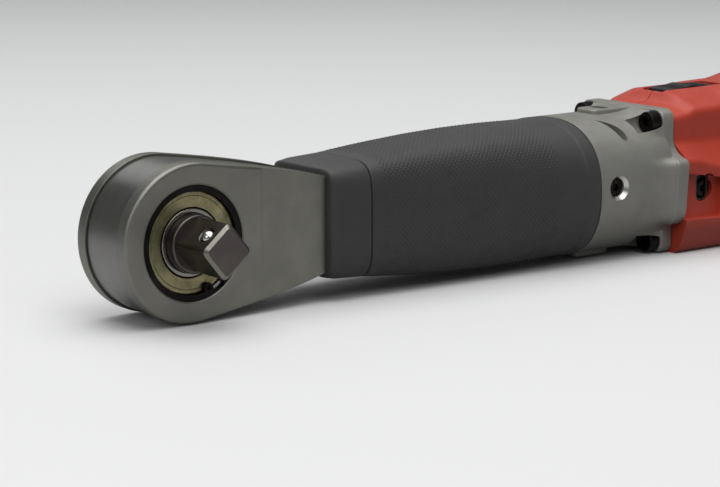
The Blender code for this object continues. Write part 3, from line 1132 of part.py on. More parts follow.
def make_battery():
    """Battery pack on its tee rail, its release latch and its contact block."""
    middle = (FLOOR_Z + PACK_TOP) / 2
    end = PACK_X + PACK_LENGTH
    outline = rounded(PACK_X, end, PACK_LOW_Y, PACK_HIGH_Y, 0.0080)
    levels = [(FLOOR_Z, 0.0012), (FLOOR_Z + 0.0012, 0), (PACK_TOP - 0.0012, 0), (PACK_TOP, 0.0012)]
    pack = add_object("battery_pack", plate(outline, levels, "Z"), BLACK_PLASTIC)
    face = HOUSING_END_X
    rail = [(PACK_X + 0.001, middle - RAIL_NECK), (PACK_X + 0.001, middle + RAIL_NECK),
            (face - 0.0034 - RUN, middle + RAIL_NECK), (face - 0.0034 - RUN, middle + RAIL_HEAD),
            (face - RAIL_DEPTH, middle + RAIL_HEAD), (face - RAIL_DEPTH, middle - RAIL_HEAD),
            (face - 0.0034 - RUN, middle - RAIL_HEAD), (face - 0.0034 - RUN, middle - RAIL_NECK)]
    apply_tool(pack, plate(rail, [(-0.0300, 0), (0.0250 - SEAT, 0)], "Y"), "UNION")
    cover = block((HOUSING_END_X + SEAT, -0.0340, FLOOR_Z + 0.0020), (PACK_X + 0.0010, 0.0340, PACK_TOP - 0.0020), 0)
    apply_tool(pack, cover, "UNION")

    size_x, size_y, size_z = LATCH_SIZE
    mid_x = PACK_X + PACK_LENGTH / 2
    low = (mid_x - size_x / 2, PACK_LOW_Y - 0.0012, middle - size_z / 2)
    high = (mid_x + size_x / 2, PACK_LOW_Y - 0.0012 + size_y, middle + size_z / 2)
    pocket = block((low[0] - RUN, PACK_LOW_Y - OVER, low[2] - RUN),
                   (high[0] + RUN, high[1] + LATCH_TRAVEL + SEAT, high[2] + RUN))
    apply_tool(pack, pocket)
    latch = plate(rounded(low[0], high[0], low[2], high[2], 0.0015), [(low[1], 0.0008), (low[1] + 0.0008, 0),
                                                                     (high[1], 0)], "Y")
    add_object("battery_latch", latch, RED_PLASTIC)


make_head()
make_bearing()
make_anvil()
make_pinion()
make_torque_tube()
make_boot()
make_gear_case()
make_planetary()
make_motor()
make_housing()
make_display()
make_controls()
make_battery()
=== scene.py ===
# %% [markdown]
# # A cordless right-angle torque wrench
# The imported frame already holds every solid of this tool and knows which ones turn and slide.
# What it lacks is the look of the real thing: rounded mouldings, blasted steel, rubber with a
# gripping pattern, a display. Each step below makes one piece or one finish, and hangs the
# piece on the body that carries it, so that the tool still moves as the frame says.

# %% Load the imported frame
import math

import bmesh
import bpy
from mathutils import Matrix, Vector


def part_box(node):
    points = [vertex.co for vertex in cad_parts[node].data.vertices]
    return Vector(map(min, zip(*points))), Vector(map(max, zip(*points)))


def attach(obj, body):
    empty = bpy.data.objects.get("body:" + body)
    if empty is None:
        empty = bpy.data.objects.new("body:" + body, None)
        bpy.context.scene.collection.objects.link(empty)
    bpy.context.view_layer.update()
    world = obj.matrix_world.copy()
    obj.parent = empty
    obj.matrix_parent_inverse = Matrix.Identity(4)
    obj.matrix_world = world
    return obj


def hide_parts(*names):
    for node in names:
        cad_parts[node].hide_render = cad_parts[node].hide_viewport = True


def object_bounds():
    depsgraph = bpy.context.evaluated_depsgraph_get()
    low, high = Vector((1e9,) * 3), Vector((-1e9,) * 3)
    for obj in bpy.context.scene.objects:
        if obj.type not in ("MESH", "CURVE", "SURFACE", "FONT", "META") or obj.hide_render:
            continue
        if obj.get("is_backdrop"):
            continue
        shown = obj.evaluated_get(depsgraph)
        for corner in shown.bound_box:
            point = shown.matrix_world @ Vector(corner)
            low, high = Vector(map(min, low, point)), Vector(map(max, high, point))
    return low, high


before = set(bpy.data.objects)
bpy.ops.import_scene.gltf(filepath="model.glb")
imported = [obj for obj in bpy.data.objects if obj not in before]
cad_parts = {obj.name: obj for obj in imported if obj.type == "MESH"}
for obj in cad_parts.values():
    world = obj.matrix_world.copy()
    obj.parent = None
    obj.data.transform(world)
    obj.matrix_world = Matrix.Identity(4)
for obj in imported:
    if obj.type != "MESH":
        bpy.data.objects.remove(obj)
cad_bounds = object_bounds()
MM = 0.001

# %% [markdown]
# ## Where things are
# The tool was drawn about the middle of its head, but the frame's origin is the end of the
# square drive. Working in millimetres from the head's middle keeps the numbers readable, and
# one matrix puts a finished mesh where the frame wants it. Most sizes are read from the solids.

# %% Places taken from the frame
head_low, head_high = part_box("head_body")
HEAD_Y = (head_low[1] + head_high[1]) / 2
TO_WORLD = Matrix.Translation((0, HEAD_Y, 0)) @ Matrix.Scale(MM, 4)


def span(node, axis):
    """Lowest and highest place of a solid along X, Y or Z, in mm from the head's middle."""
    low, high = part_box(node)
    index = "XYZ".index(axis)
    shift = HEAD_Y if axis == "Y" else 0
    return (low[index] - shift) / MM, (high[index] - shift) / MM


FRONT, BACK = span("head_front_plate", "Y")[0], span("head_rear_plate", "Y")[1]
PLATE = span("head_front_plate", "Y")[1] - FRONT
RADIUS = -span("head_front_plate", "X")[0]
FLOOR = span("housing_left", "Z")[0]
LINE_Y = sum(span("torque_tube", "Y")) / 2
print("head %.1f thick, radius %.1f, drive line at y %.1f" % (BACK - FRONT, RADIUS, LINE_Y))

# %% [markdown]
# ## The camera, the floor and the light
# The photo was taken with a long lens from the front left, a little above the tool, on a pale
# sheet under soft light. A long lens far away keeps parallel edges nearly parallel. The floor is
# one big sheet. To the camera it shows a pale tone with painted light on it, a little darker near
# the camera and lighter far off, and it still takes the tool's shadow.

# %% Small helpers and the camera at the photo's angle
CAMERA_AT = (-395.57, -597.24, 133.80)
CAMERA_YAW = math.radians(38.148)
CAMERA_PITCH = math.radians(10.767)
LENS = 120
SENSOR = 36
NEAREST = 0.01


def placed(name, data):
    """An object around some data, linked to the scene."""
    made = bpy.data.objects.new(name, data)
    bpy.context.scene.collection.objects.link(made)
    return made


def as_mesh(name, bm):
    """A bmesh as a mesh; the bmesh is freed."""
    mesh = bpy.data.meshes.new(name)
    bm.to_mesh(mesh)
    bm.free()
    return mesh


camera_data = bpy.data.cameras.new("camera")
camera_data.lens = LENS
camera_data.sensor_width = SENSOR
camera_data.clip_start = NEAREST
camera = placed("camera", camera_data)
camera.location = TO_WORLD @ Vector(CAMERA_AT)
camera.rotation_euler = (math.pi / 2 - CAMERA_PITCH, 0, -CAMERA_YAW)
bpy.context.scene.camera = camera
bpy.context.scene.view_settings.view_transform = "Standard"
print("camera at", [round(v, 4) for v in camera.location])


# %% One function that adds a node
def add(tree, kind, settings=None, links=None):
    """Add a node, set its properties, and feed its inputs with values or with other sockets."""
    made = tree.nodes.new(kind)
    for name, value in (settings or {}).items():
        setattr(made, name, value)
    for socket, value in (links or {}).items():
        if isinstance(value, bpy.types.NodeSocket):
            tree.links.new(value, made.inputs[socket])
        else:
            made.inputs[socket].default_value = value
    return made


def linear(hex_colour):
    """An sRGB hex colour as the linear values that shaders work with."""
    parts = [int(hex_colour[i:i + 2], 16) / 255 for i in (1, 3, 5)]
    bent = [p / 12.92 if p <= 0.04045 else ((p + 0.055) / 1.055) ** 2.4 for p in parts]
    return (*bent, 1.0)


def maths(tree, operation, *values):
    """The output of a Math node that is fed with the values in turn."""
    return add(tree, "ShaderNodeMath", {"operation": operation}, dict(enumerate(values))).outputs[0]


def mix(tree, share, first, second):
    """A colour between two others, by a share from 0 to 1."""
    return add(tree, "ShaderNodeMix", {"data_type": "RGBA"},
               {"Factor": share, 6: first, 7: second}).outputs[2]


# %% Floor sheet and sky
FLOOR_NEAR = "#e8e8e8"
FLOOR_FAR = "#f0f1f1"
FLOOR_BOUNCE = "#545454"
SKY = "#e9ebec"
SHEET = 6.0
FADE_START, FADE_END = -0.10, 0.95
MIRRORED_SHARE = 0.72
SKY_LIGHT, SKY_SHOWN = 0.20, 0.9

sheet_bm = bmesh.new()
bmesh.ops.create_grid(sheet_bm, x_segments=1, y_segments=1, size=SHEET)
sheet_mesh = as_mesh("floor_sheet", sheet_bm)
sheet_mesh.transform(Matrix.Translation((0, 0, FLOOR * MM)))
placed("floor_sheet", sheet_mesh)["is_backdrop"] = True

# The camera sees a pale sheet. Light that bounces off it sees a dark one, so it lights the tool less.
paper = bpy.data.materials.new("matt_white_card")
paper.use_nodes = True
tree = paper.node_tree
where = add(tree, "ShaderNodeTexCoord").outputs["Object"]
away = add(tree, "ShaderNodeVectorMath", {"operation": "DOT_PRODUCT"},
           {0: where, 1: (math.sin(CAMERA_YAW), math.cos(CAMERA_YAW), 0)})
# Painted light falloff: the sheet's tone is painted darker near the camera and lighter far off.
painted_falloff = add(tree, "ShaderNodeMapRange", {"interpolation_type": "SMOOTHSTEP"},
           {"Value": away.outputs["Value"], "From Min": FADE_START, "From Max": FADE_END})
tone = mix(tree, painted_falloff.outputs["Result"], linear(FLOOR_NEAR), linear(FLOOR_FAR))
path = add(tree, "ShaderNodeLightPath").outputs
mirrored = maths(tree, "MULTIPLY", path["Is Glossy Ray"], MIRRORED_SHARE)
direct = maths(tree, "MAXIMUM", path["Is Camera Ray"], mirrored)
shown = maths(tree, "MAXIMUM", direct, path["Is Transmission Ray"])
shader = tree.nodes["Principled BSDF"]
tree.links.new(mix(tree, shown, linear(FLOOR_BOUNCE), tone), shader.inputs["Base Color"])
shader.inputs["Roughness"].default_value = 0.55
shader.inputs["Specular IOR Level"].default_value = 0.3
sheet_mesh.materials.append(paper)

world = bpy.data.worlds.new("studio")
world.use_nodes = True
bpy.context.scene.world = world
tree = world.node_tree
path = add(tree, "ShaderNodeLightPath").outputs
seen = maths(tree, "MAXIMUM", path["Is Camera Ray"], path["Is Transmission Ray"])
strength = add(tree, "ShaderNodeMapRange", links={"Value": seen, "To Min": SKY_LIGHT, "To Max": SKY_SHOWN})
background = tree.nodes["Background"].inputs
tree.links.new(strength.outputs["Result"], background["Strength"])
background["Color"].default_value = linear(SKY)

# %% Soft lamps
LAMPS = (("overhead", (0.12, 0.05, 1.15), (0.10, 0.0, 0.0), 1.60, 12.4),
         ("front_high", (-0.20, -0.75, 1.15), (0.08, 0.0, 0.0), 1.30, 6.4),
         ("left_fill", (-1.20, -0.30, 0.75), (0.0, 0.0, 0.0), 0.90, 2.8),
         ("back_rim", (0.35, 1.30, 0.95), (0.10, 0.0, 0.0), 0.90, 1.5))
for name, place, target, size, power in LAMPS:
    lamp = bpy.data.lights.new(name, "AREA")
    lamp.shape = "DISK"
    lamp.size = size
    lamp.energy = power
    holder = placed(name, lamp)
    holder.location = place
    holder.rotation_euler = (Vector(target) - Vector(place)).to_track_quat("-Z", "Y").to_euler()
print("lamps:", ", ".join(lamp[0] for lamp in LAMPS))

# %% [markdown]
# ## Finishes
# A finish is more than a colour. Each one starts from how the real surface was made: blasting
# leaves a grain of small pits, turning leaves fine rings, moulding copies the texture of its
# tool, and casting leaves a sandy skin. Two helpers make most of them. One makes small relief
# and gloss changes from noise of a real size, and one lets the colour drift between two tones.


# %% Helpers for finishes
def new_finish(name, colour, roughness, metallic=0.0):
    """A Principled material, its node tree and shader, and the Object coordinates in mm."""
    made = bpy.data.materials.new(name)
    made.use_nodes = True
    made.diffuse_color = linear(colour)
    shader = made.node_tree.nodes["Principled BSDF"]
    shader.inputs["Base Color"].default_value = linear(colour)
    shader.inputs["Roughness"].default_value = roughness
    shader.inputs["Metallic"].default_value = metallic
    where = add(made.node_tree, "ShaderNodeTexCoord").outputs["Object"]
    in_mm = add(made.node_tree, "ShaderNodeVectorMath", {"operation": "SCALE"}, {0: where, "Scale": 1 / MM})
    return made, made.node_tree, shader, in_mm.outputs["Vector"]


def grain(tree, shader, where, size, height, gloss, detail=3):
    """Relief from noise whose bumps are about a size in mm, with roughness between two values."""
    noise = add(tree, "ShaderNodeTexNoise", links={"Vector": where, "Scale": 1 / size, "Detail": detail})
    bump = add(tree, "ShaderNodeBump", links={"Height": noise.outputs["Fac"], "Distance": height * MM})
    tree.links.new(bump.outputs["Normal"], shader.inputs["Normal"])
    slow = add(tree, "ShaderNodeTexNoise", links={"Vector": where, "Scale": 0.12 / size, "Detail": 2})
    shine = add(tree, "ShaderNodeMapRange",
                links={"Value": slow.outputs["Fac"], "From Min": 0.3, "From Max": 0.7,
                       "To Min": gloss[0], "To Max": gloss[1]})
    tree.links.new(shine.outputs["Result"], shader.inputs["Roughness"])
    return bump


def drift(tree, shader, where, size, dark, light):
    """Let the colour wander between two tones over patches of a size in mm."""
    noise = add(tree, "ShaderNodeTexNoise",
                links={"Vector": where, "Scale": 1 / size, "Detail": 4, "Roughness": 0.6})
    blend = add(tree, "ShaderNodeMapRange",
                links={"Value": noise.outputs["Fac"], "From Min": 0.35, "From Max": 0.65})
    tones = mix(tree, blend.outputs["Result"], linear(dark), linear(light))
    tree.links.new(tones, shader.inputs["Base Color"])


# %% [markdown]
# The head's plates are steel, milled and then blasted with fine glass beads, which gives an even
# satin grey. The band between them is ground, so it is smoother and mirrors its surroundings in
# soft streaks. The drive is phosphated, a dark brownish grey, and the gears are bare hard steel.


# %% Steel finishes
def steel(name, dark, light, roughness, grain_mm, height):
    """Bare or treated steel: a metal with a fine grain, and tones that drift a little."""
    made, tree, shader, where = new_finish(name, light, roughness, 1.0)
    grain(tree, shader, where, grain_mm, height, (roughness - 0.03, roughness + 0.04))
    drift(tree, shader, where, 11, dark, light)
    return made


blasted_steel = steel("glass_bead_blasted_steel", "#82817b", "#8a8982", 0.44, 0.12, 0.005)
ground_band = steel("ground_dark_steel", "#82817e", "#878683", 0.33, 0.6, 0.0008)
phosphated_steel = steel("phosphated_steel", "#575150", "#625c59", 0.33, 0.2, 0.004)
bearing_steel = steel("ground_bearing_steel", "#8b8982", "#95938b", 0.26, 0.3, 0.002)
worn_steel = steel("worn_bright_steel", "#77736b", "#88847b", 0.34, 0.2, 0.002)
chrome = steel("polished_chrome_steel", "#c9c8c4", "#d0cfcb", 0.08, 2.0, 0.0005)
black_oxide = steel("black_oxide_steel", "#1e1b1b", "#2c2828", 0.42, 0.25, 0.010)
gear_steel = steel("case_hardened_gear_steel", "#7e7b74", "#9b978e", 0.34, 0.3, 0.006)


# %% [markdown]
# The bearing's shield is pressed from sheet steel and zinc plated with a yellow passivation, so
# it is a dull straw gold with darker stains. Faint rings from the press tool run round it.


# %% Yellow zinc plate
RING_TURNS = 9.0


def ringed_zinc():
    """Zinc plate with rings round the drive's axis and a stained yellow tint."""
    made, tree, shader, where = new_finish("yellow_zinc_plate", "#9a9270", 0.36, 1.0)
    bump = grain(tree, shader, where, 0.5, 0.01, (0.30, 0.44))
    drift(tree, shader, where, 3.0, "#7d7759", "#9d9674")
    flat = add(tree, "ShaderNodeVectorMath", {"operation": "MULTIPLY"}, {0: where, 1: (1, 0, 1)})
    radius = add(tree, "ShaderNodeVectorMath", {"operation": "LENGTH"}, {0: flat.outputs["Vector"]})
    ring = maths(tree, "SINE", maths(tree, "MULTIPLY", radius.outputs["Value"], RING_TURNS))
    rings = add(tree, "ShaderNodeBump",
                links={"Height": ring, "Distance": 0.006 * MM, "Normal": bump.outputs["Normal"]})
    tree.links.new(rings.outputs["Normal"], shader.inputs["Normal"])
    return made


yellow_zinc = ringed_zinc()

# %% [markdown]
# The boot and the grip covers are moulded rubber: dark grey rather than black, quite matt, with
# a dusty sheen at grazing angles. The casting is aluminium with a sandy skin. The housing is
# glass-filled nylon, spark-textured in the mould so that it doesn't shine like a toy.


# %% Rubber, cast aluminium and nylon
def moulded(name, dark, light, roughness, grain_mm, height, sheen=0.0):
    """A moulding: the mould's fine texture, slow changes of gloss, and a slight drift of tone."""
    made, tree, shader, where = new_finish(name, light, roughness)
    grain(tree, shader, where, grain_mm, height, (roughness - 0.05, roughness + 0.06))
    drift(tree, shader, where, 14, dark, light)
    shader.inputs["Sheen Weight"].default_value = sheen
    shader.inputs["Sheen Roughness"].default_value = 0.5
    return made


rubber = moulded("moulded_black_rubber", "#383837", "#3d3d3c", 0.56, 0.30, 0.012, 0.06)
red_nylon = moulded("spark_textured_red_nylon", "#b5341d", "#bd3c24", 0.45, 0.30, 0.010, 0.12)
black_nylon = moulded("spark_textured_black_nylon", "#202021", "#2a2a2b", 0.48, 0.30, 0.014)
smooth_black = moulded("polished_black_abs", "#131314", "#1a1a1b", 0.22, 1.5, 0.003)

cast_aluminium, tree, shader, where = new_finish("sand_skinned_cast_aluminium", "#94938d", 0.48, 0.35)
grain(tree, shader, where, 0.45, 0.035, (0.40, 0.56), 5)
drift(tree, shader, where, 9, "#8d8c86", "#95948e")

machined_aluminium = steel("machined_aluminium", "#b9b8b3", "#cfcec9", 0.28, 0.2, 0.004)

# %% [markdown]
# The rest is hidden or small: sintered bronze bushes, enamelled copper windings, a green
# circuit board with its copper showing through, amber gauge film, the display and its window.


# %% Small finishes
bronze = steel("sintered_bronze", "#8a5f33", "#a5783f", 0.42, 0.25, 0.02)


def wound_copper():
    """Copper wire side by side: ridges one wire apart along the motor."""
    made, tree, shader, where = new_finish("enamelled_copper_wire", "#a5552a", 0.32, 1.0)
    wave = add(tree, "ShaderNodeTexWave", {"bands_direction": "X"},
               {"Vector": where, "Scale": 0.35, "Distortion": 0.4})
    bump = add(tree, "ShaderNodeBump", links={"Height": wave.outputs["Fac"], "Distance": 0.25 * MM})
    tree.links.new(bump.outputs["Normal"], shader.inputs["Normal"])
    drift(tree, shader, where, 4, "#8a4220", "#b8683a")
    return made


def circuit_board():
    """Green solder mask over tracks, which show as slightly lighter lines."""
    made, tree, shader, where = new_finish("green_solder_mask", "#1d5a35", 0.32)
    tracks = add(tree, "ShaderNodeTexBrick",
                 links={"Vector": where, "Scale": 0.4, "Mortar Size": 0.03, "Color1": linear("#1b5431"),
                        "Color2": linear("#216039"), "Mortar": linear("#4f8a58")})
    tree.links.new(tracks.outputs["Color"], shader.inputs["Base Color"])
    return made


copper_wire = wound_copper()
solder_mask = circuit_board()
gauge_film = moulded("amber_polyimide_film", "#8f5a1c", "#b87a2c", 0.3, 0.4, 0.004)
lcd_glass = moulded("lcd_reflector", "#9aa58f", "#a8b39c", 0.35, 2.0, 0.001)
lcd_ink = moulded("lcd_segment", "#20261f", "#262c25", 0.4, 2.0, 0.001)
white_ink = moulded("white_pad_print", "#dcdcd8", "#e6e6e2", 0.5, 0.5, 0.002)

window, tree, shader, where = new_finish("hard_coated_window", "#e8efee", 0.06)
shader.inputs["Transmission Weight"].default_value = 0.92
shader.inputs["IOR"].default_value = 1.49
grain(tree, shader, where, 6, 0.001, (0.03, 0.08))
print("finishes:", len(bpy.data.materials))

# %% [markdown]
# ## Helpers for shapes
# Most pieces of this tool are turned, cut from plate, or lofted through a few sections. Each
# helper gives back a bmesh in millimetres. Booleans and edge bevels run on a draft object. The
# draft is then turned into a plain mesh, so no modifier is left on a finished piece.


# %% Turned, flat and lofted shapes
def put(axis, u, v, t):
    """A point from two coordinates across an axis and one along it."""
    return {"X": (t, u, v), "Y": (u, t, v), "Z": (u, v, t)}[axis]


def polar(radius, angle):
    """A point on a circle about the origin."""
    return radius * math.cos(angle), radius * math.sin(angle)


def lathe(profile, axis="Y", steps=96, at=(0, 0, 0)):
    """A body of revolution. The profile lists (radius, place); it closes itself off the axis."""
    bm = bmesh.new()
    rows = []
    for radius, place in profile:
        if radius <= 0:
            rows.append([bm.verts.new(Vector(put(axis, 0, 0, place)) + Vector(at))] * steps)
            continue
        circle = [polar(radius, 2 * math.pi * k / steps) for k in range(steps)]
        rows.append([bm.verts.new(Vector(put(axis, u, v, place)) + Vector(at)) for u, v in circle])
    pairs = list(zip(rows, rows[1:]))
    if profile[0][0] > 0 and profile[-1][0] > 0:
        pairs.append((rows[-1], rows[0]))
    for first, second in pairs:
        for k in range(steps):
            j = (k + 1) % steps
            corners = list(dict.fromkeys((first[k], first[j], second[j], second[k])))
            if len(corners) > 2:
                bm.faces.new(corners)
    return bm


def rod(radius, low, high, axis="Y", steps=96, at=(0, 0, 0)):
    """A plain cylinder along an axis, from one place to another."""
    return lathe([(0, low), (radius, low), (radius, high), (0, high)], axis, steps, at)


def softened(corners, steps=5, closed=True):
    """A polygon with rounded corners. Each corner is (u, v, how far the rounding reaches)."""
    outline = []
    for i, (u, v, reach) in enumerate(corners):
        corner = Vector((u, v))
        end = not closed and i in (0, len(corners) - 1)
        if reach <= 0 or end:
            outline.append((u, v))
            continue
        back = (Vector(corners[i - 1][:2]) - corner).normalized() * reach
        ahead = (Vector(corners[(i + 1) % len(corners)][:2]) - corner).normalized() * reach
        for k in range(steps + 1):
            t = k / steps
            outline.append(tuple(corner + back * (1 - t) ** 2 + ahead * t * t))
    return outline


def rectangle(u0, v0, u1, v1):
    """The four corners of a rectangle, anticlockwise."""
    return [(u0, v0), (u1, v0), (u1, v1), (u0, v1)]


def soft_rectangle(u0, v0, u1, v1, reach, steps=5):
    """A rectangle with rounded corners."""
    return softened([(u, v, reach) for u, v in rectangle(u0, v0, u1, v1)], steps)


def skin(loops, ring=False):
    """Faces between loops of equal count. Open ends are capped; a ring closes on itself."""
    bm = bmesh.new()
    rows = [[bm.verts.new(point) for point in loop] for loop in loops]
    pairs = list(zip(rows, rows[1:]))
    if ring:
        pairs.append((rows[-1], rows[0]))
    else:
        bm.faces.new(rows[0])
        bm.faces.new(list(reversed(rows[-1])))
    for first, second in pairs:
        for i in range(len(first)):
            j = (i + 1) % len(first)
            bm.faces.new((first[i], first[j], second[j], second[i]))
    return bm


def inset(outline, amount):
    """An anticlockwise outline moved inwards by one amount all round."""
    moved = []
    for i in range(len(outline)):
        point = Vector(outline[i])
        arriving = (point - Vector(outline[i - 1])).normalized()
        leaving = (Vector(outline[(i + 1) % len(outline)]) - point).normalized()
        first, second = Vector((-arriving.y, arriving.x)), Vector((-leaving.y, leaving.x))
        moved.append(point + (first + second) * (amount / (1 + first.dot(second))))
    return moved


def plate(outline, levels, axis="Y"):
    """A flat piece from one outline; each level is (place along the axis, inset)."""
    return skin([[put(axis, u, v, place) for u, v in inset(outline, amount)] for place, amount in levels])


def edge_levels(low, high, round_low, round_high, steps=4):
    """Levels for a plate whose two rims are rounded off in quarter circles."""
    quarter = [(1 - math.cos(math.pi / 2 * k / steps), 1 - math.sin(math.pi / 2 * k / steps))
               for k in range(steps + 1)]
    lower = [(low + round_low * up, round_low * across) for up, across in quarter]
    upper = [(high - round_high * up, round_high * across) for up, across in reversed(quarter)]
    return (lower if round_low else [(low, 0)]) + (upper if round_high else [(high, 0)])


def rounded_box(low, high, corner, rim):
    """A box with round corners in plan and softly rounded rims at both ends."""
    outline = soft_rectangle(*low[:2], *high[:2], corner)
    return plate(outline, edge_levels(low[2], high[2], rim, rim, 3), "Z")


# %% Drafts, Booleans and finished pieces
def scratch(name, bm):
    """Put a bmesh into the scene as a draft object."""
    bmesh.ops.remove_doubles(bm, verts=bm.verts, dist=0.0005)
    bmesh.ops.recalc_face_normals(bm, faces=bm.faces)
    return placed(name, as_mesh(name, bm))


def settled(draft):
    """The mesh of a draft with its modifiers run; the draft itself is thrown away."""
    bpy.context.view_layer.update()
    mesh = bpy.data.meshes.new_from_object(draft.evaluated_get(bpy.context.evaluated_depsgraph_get()))
    bpy.data.objects.remove(draft)
    return mesh


def merged(meshes):
    """The shapes of several meshes in one bmesh; the meshes are thrown away."""
    whole = bmesh.new()
    for mesh in meshes:
        whole.from_mesh(mesh)
        bpy.data.meshes.remove(mesh)
    return whole


def cuts(*shapes):
    """Shapes as Boolean steps that take them away."""
    return [("DIFFERENCE", shape) for shape in shapes]


def carved(bm, steps=(), bevel=0.0, segments=3, limit=30):
    """Run (operation, shape) steps and an edge bevel on a shape, and give back a clean bmesh."""
    draft = scratch("draft", bm)
    tools = []
    for operation, shape in steps:
        tools.append(scratch("tool", shape))
        step = draft.modifiers.new(operation, "BOOLEAN")
        step.operation = operation
        step.object = tools[-1]
        step.solver = "EXACT"
    clean = merged([settled(draft)])
    for tool in tools:
        bpy.data.objects.remove(tool)
    bmesh.ops.remove_doubles(clean, verts=clean.verts, dist=0.002)
    bmesh.ops.dissolve_limit(clean, angle_limit=math.radians(0.4), verts=clean.verts, edges=clean.edges)
    if bevel:
        draft = scratch("draft", clean)
        step = draft.modifiers.new("edges", "BEVEL")
        step.width = bevel
        step.segments = segments
        step.limit_method = "ANGLE"
        step.angle_limit = math.radians(limit)
        step.miter_outer = "MITER_ARC"
        clean = merged([settled(draft)])
    return clean


def hung(name, mesh, body, finish, replaced=()):
    """A finished mesh in mm becomes a piece on a body and in the frame's place."""
    mesh.transform(TO_WORLD)
    mesh.name = name
    made = placed(name, mesh)
    if finish:
        mesh.materials.clear()
        mesh.materials.append(finish)
    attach(made, body)
    if replaced:
        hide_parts(*replaced)
    print("%-26s %6d faces on %s" % (name, len(mesh.polygons), body))
    return made


def piece(name, bm, body, finish, replaced=(), crease=34, sharp=None):
    """Shade a shape smooth between its creases and hang it on a body."""
    draft = scratch(name, bm)
    draft.data.shade_smooth()
    draft.data.set_sharp_from_angle(angle=math.radians(crease))
    if sharp:
        points = draft.data.vertices
        for edge in draft.data.edges:
            if all(sharp(points[i].co) for i in edge.vertices):
                edge.use_edge_sharp = True
    weigh = draft.modifiers.new("normals", "WEIGHTED_NORMAL")
    weigh.keep_sharp = True
    return hung(name, settled(draft), body, finish, replaced)


# %% [markdown]
# ## The head
# The head is a sandwich: two steel plates and a slightly smaller, darker body between them. The
# plates are cut to one outline, a round nose that runs into a convex taper, and their outer rims
# are rounded over. The front plate is bored for the output bearing and has a shallow step where
# it thins towards the boot, which shows as one faint line across the face.

# %% The head's outline
LEAVE = math.radians(8)
BELLY = (34.9, 19.8)
MOUTH = (span("boot_collar", "X")[0], 15.3)
NECK_END = (span("head_front_plate", "X")[1], 14.0)
FACET_X = RADIUS
FACET_DROP = 0.7
RAMP, RAMP_DROP = 1.3, 0.35
RIM = 1.3


def head_outline(nose_steps=72, taper_steps=14):
    """The head's outline in X, Z, anticlockwise: taper, nose and taper again."""
    start = (RADIUS * math.sin(LEAVE), RADIUS * math.cos(LEAVE))
    taper = []
    for k in range(taper_steps + 1):
        t = k / taper_steps
        taper.append(tuple((1 - t) ** 2 * a + 2 * t * (1 - t) * b + t * t * c
                           for a, b, c in zip(start, BELLY, MOUTH)))
    taper += [(MOUTH[0] + 3, NECK_END[1]), (NECK_END[0], NECK_END[1])]
    first = math.pi / 2 - LEAVE
    arc = 2 * math.pi - 2 * first
    nose = [polar(RADIUS, first + arc * k / nose_steps) for k in range(1, nose_steps)]
    return list(reversed(taper)) + nose + [(x, -z) for x, z in taper]


OUTLINE = head_outline()
print("outline points:", len(OUTLINE))


# %% Plates and band
def facet(side):
    """The wedge that thins a plate towards the boot."""
    face = side * (BACK - FRONT) / 2
    far = NECK_END[0] + 2
    slope = [(FACET_X, face), (FACET_X + RAMP, face - side * RAMP_DROP), (far, face - side * FACET_DROP),
             (far, face + side * 2), (FACET_X, face + side * 2)]
    return plate(slope, [(-RADIUS, 0), (RADIUS, 0)], "Z")


def on_facet_line(point):
    """True for the points where the flat face turns into the thinner slope."""
    return abs(point.x - FACET_X) < 0.02 and abs(abs(point.y) - BACK) < 0.3


RING_LOW, RING_HIGH = span("bearing_retaining_ring", "Y")
RACE_OD = span("bearing_outer_race", "X")[1]
BORE = RACE_OD + 0.3
GROOVE = span("bearing_retaining_ring", "X")[1] + 0.3

front_levels = edge_levels(FRONT, FRONT + PLATE, RIM, 0.15)
bore_profile = [(0, FRONT - 2), (BORE + 2.3, FRONT - 2), (BORE + 0.35, FRONT), (BORE, FRONT + 0.35),
                (BORE, RING_LOW - 0.1), (GROOVE, RING_LOW - 0.1), (GROOVE, RING_HIGH + 0.3),
                (BORE, RING_HIGH + 0.3), (BORE, FRONT + PLATE + 2), (0, FRONT + PLATE + 2)]
front = carved(plate(OUTLINE, front_levels), cuts(facet(-1), lathe(bore_profile, steps=120)))
piece("front_plate", front, "tool", blasted_steel, ["head_front_plate"], sharp=on_facet_line)

PIN_RADIUS = 4.0
pin_ring = [(PIN_RADIUS, BACK - 0.25), (PIN_RADIUS + 0.25, BACK + 1), (PIN_RADIUS, BACK + 2),
            (PIN_RADIUS - 0.25, BACK + 1)]
rear = carved(plate(OUTLINE, edge_levels(BACK - PLATE, BACK, 0.15, RIM)),
              cuts(facet(1), lathe(pin_ring, steps=64)))
piece("rear_plate", rear, "tool", blasted_steel, ["head_rear_plate"], sharp=on_facet_line)

BAND_INSET = 0.7
GAP = 0.3
BAND_LOW, BAND_HIGH = FRONT + PLATE + GAP, BACK - PLATE - GAP
band = carved(plate(inset(OUTLINE, BAND_INSET), edge_levels(BAND_LOW, BAND_HIGH, 0.25, 0.25)),
              cuts(rod(BORE, BAND_LOW - 2, BAND_LOW + 4)))
piece("head_band", band, "tool", ground_band, ["head_body"])

# %% [markdown]
# ## Bearing, snap ring and square drive
# The bearing is made as the real one is seen from outside: an outer race, a pressed shield with
# a step in it, and an inner race with a bright chamfer. A black snap ring sits in its groove
# with its two eyes at the lower right. The drive is turned and then milled square, so its boss
# is round and its tip has a chamfer on every edge.

# %% Races, shield and snap ring
RACE_FACE, RACE_BACK = span("bearing_outer_race", "Y")
SHIELD_OUT = span("bearing_shield", "X")[1]
INNER_OUT = span("bearing_inner_race", "X")[1]
SHAFT = span("anvil", "X")[1]
STEP_RADIUS = 14.3

outer = softened([(SHIELD_OUT + 0.25, RACE_FACE, 0.2), (RACE_OD, RACE_FACE, 0.4), (RACE_OD, RACE_BACK, 0.4),
                  (SHIELD_OUT + 0.25, RACE_BACK, 0.2)], 3)
piece("outer_race", lathe(outer, steps=120), "tool", bearing_steel, ["bearing_outer_race"])

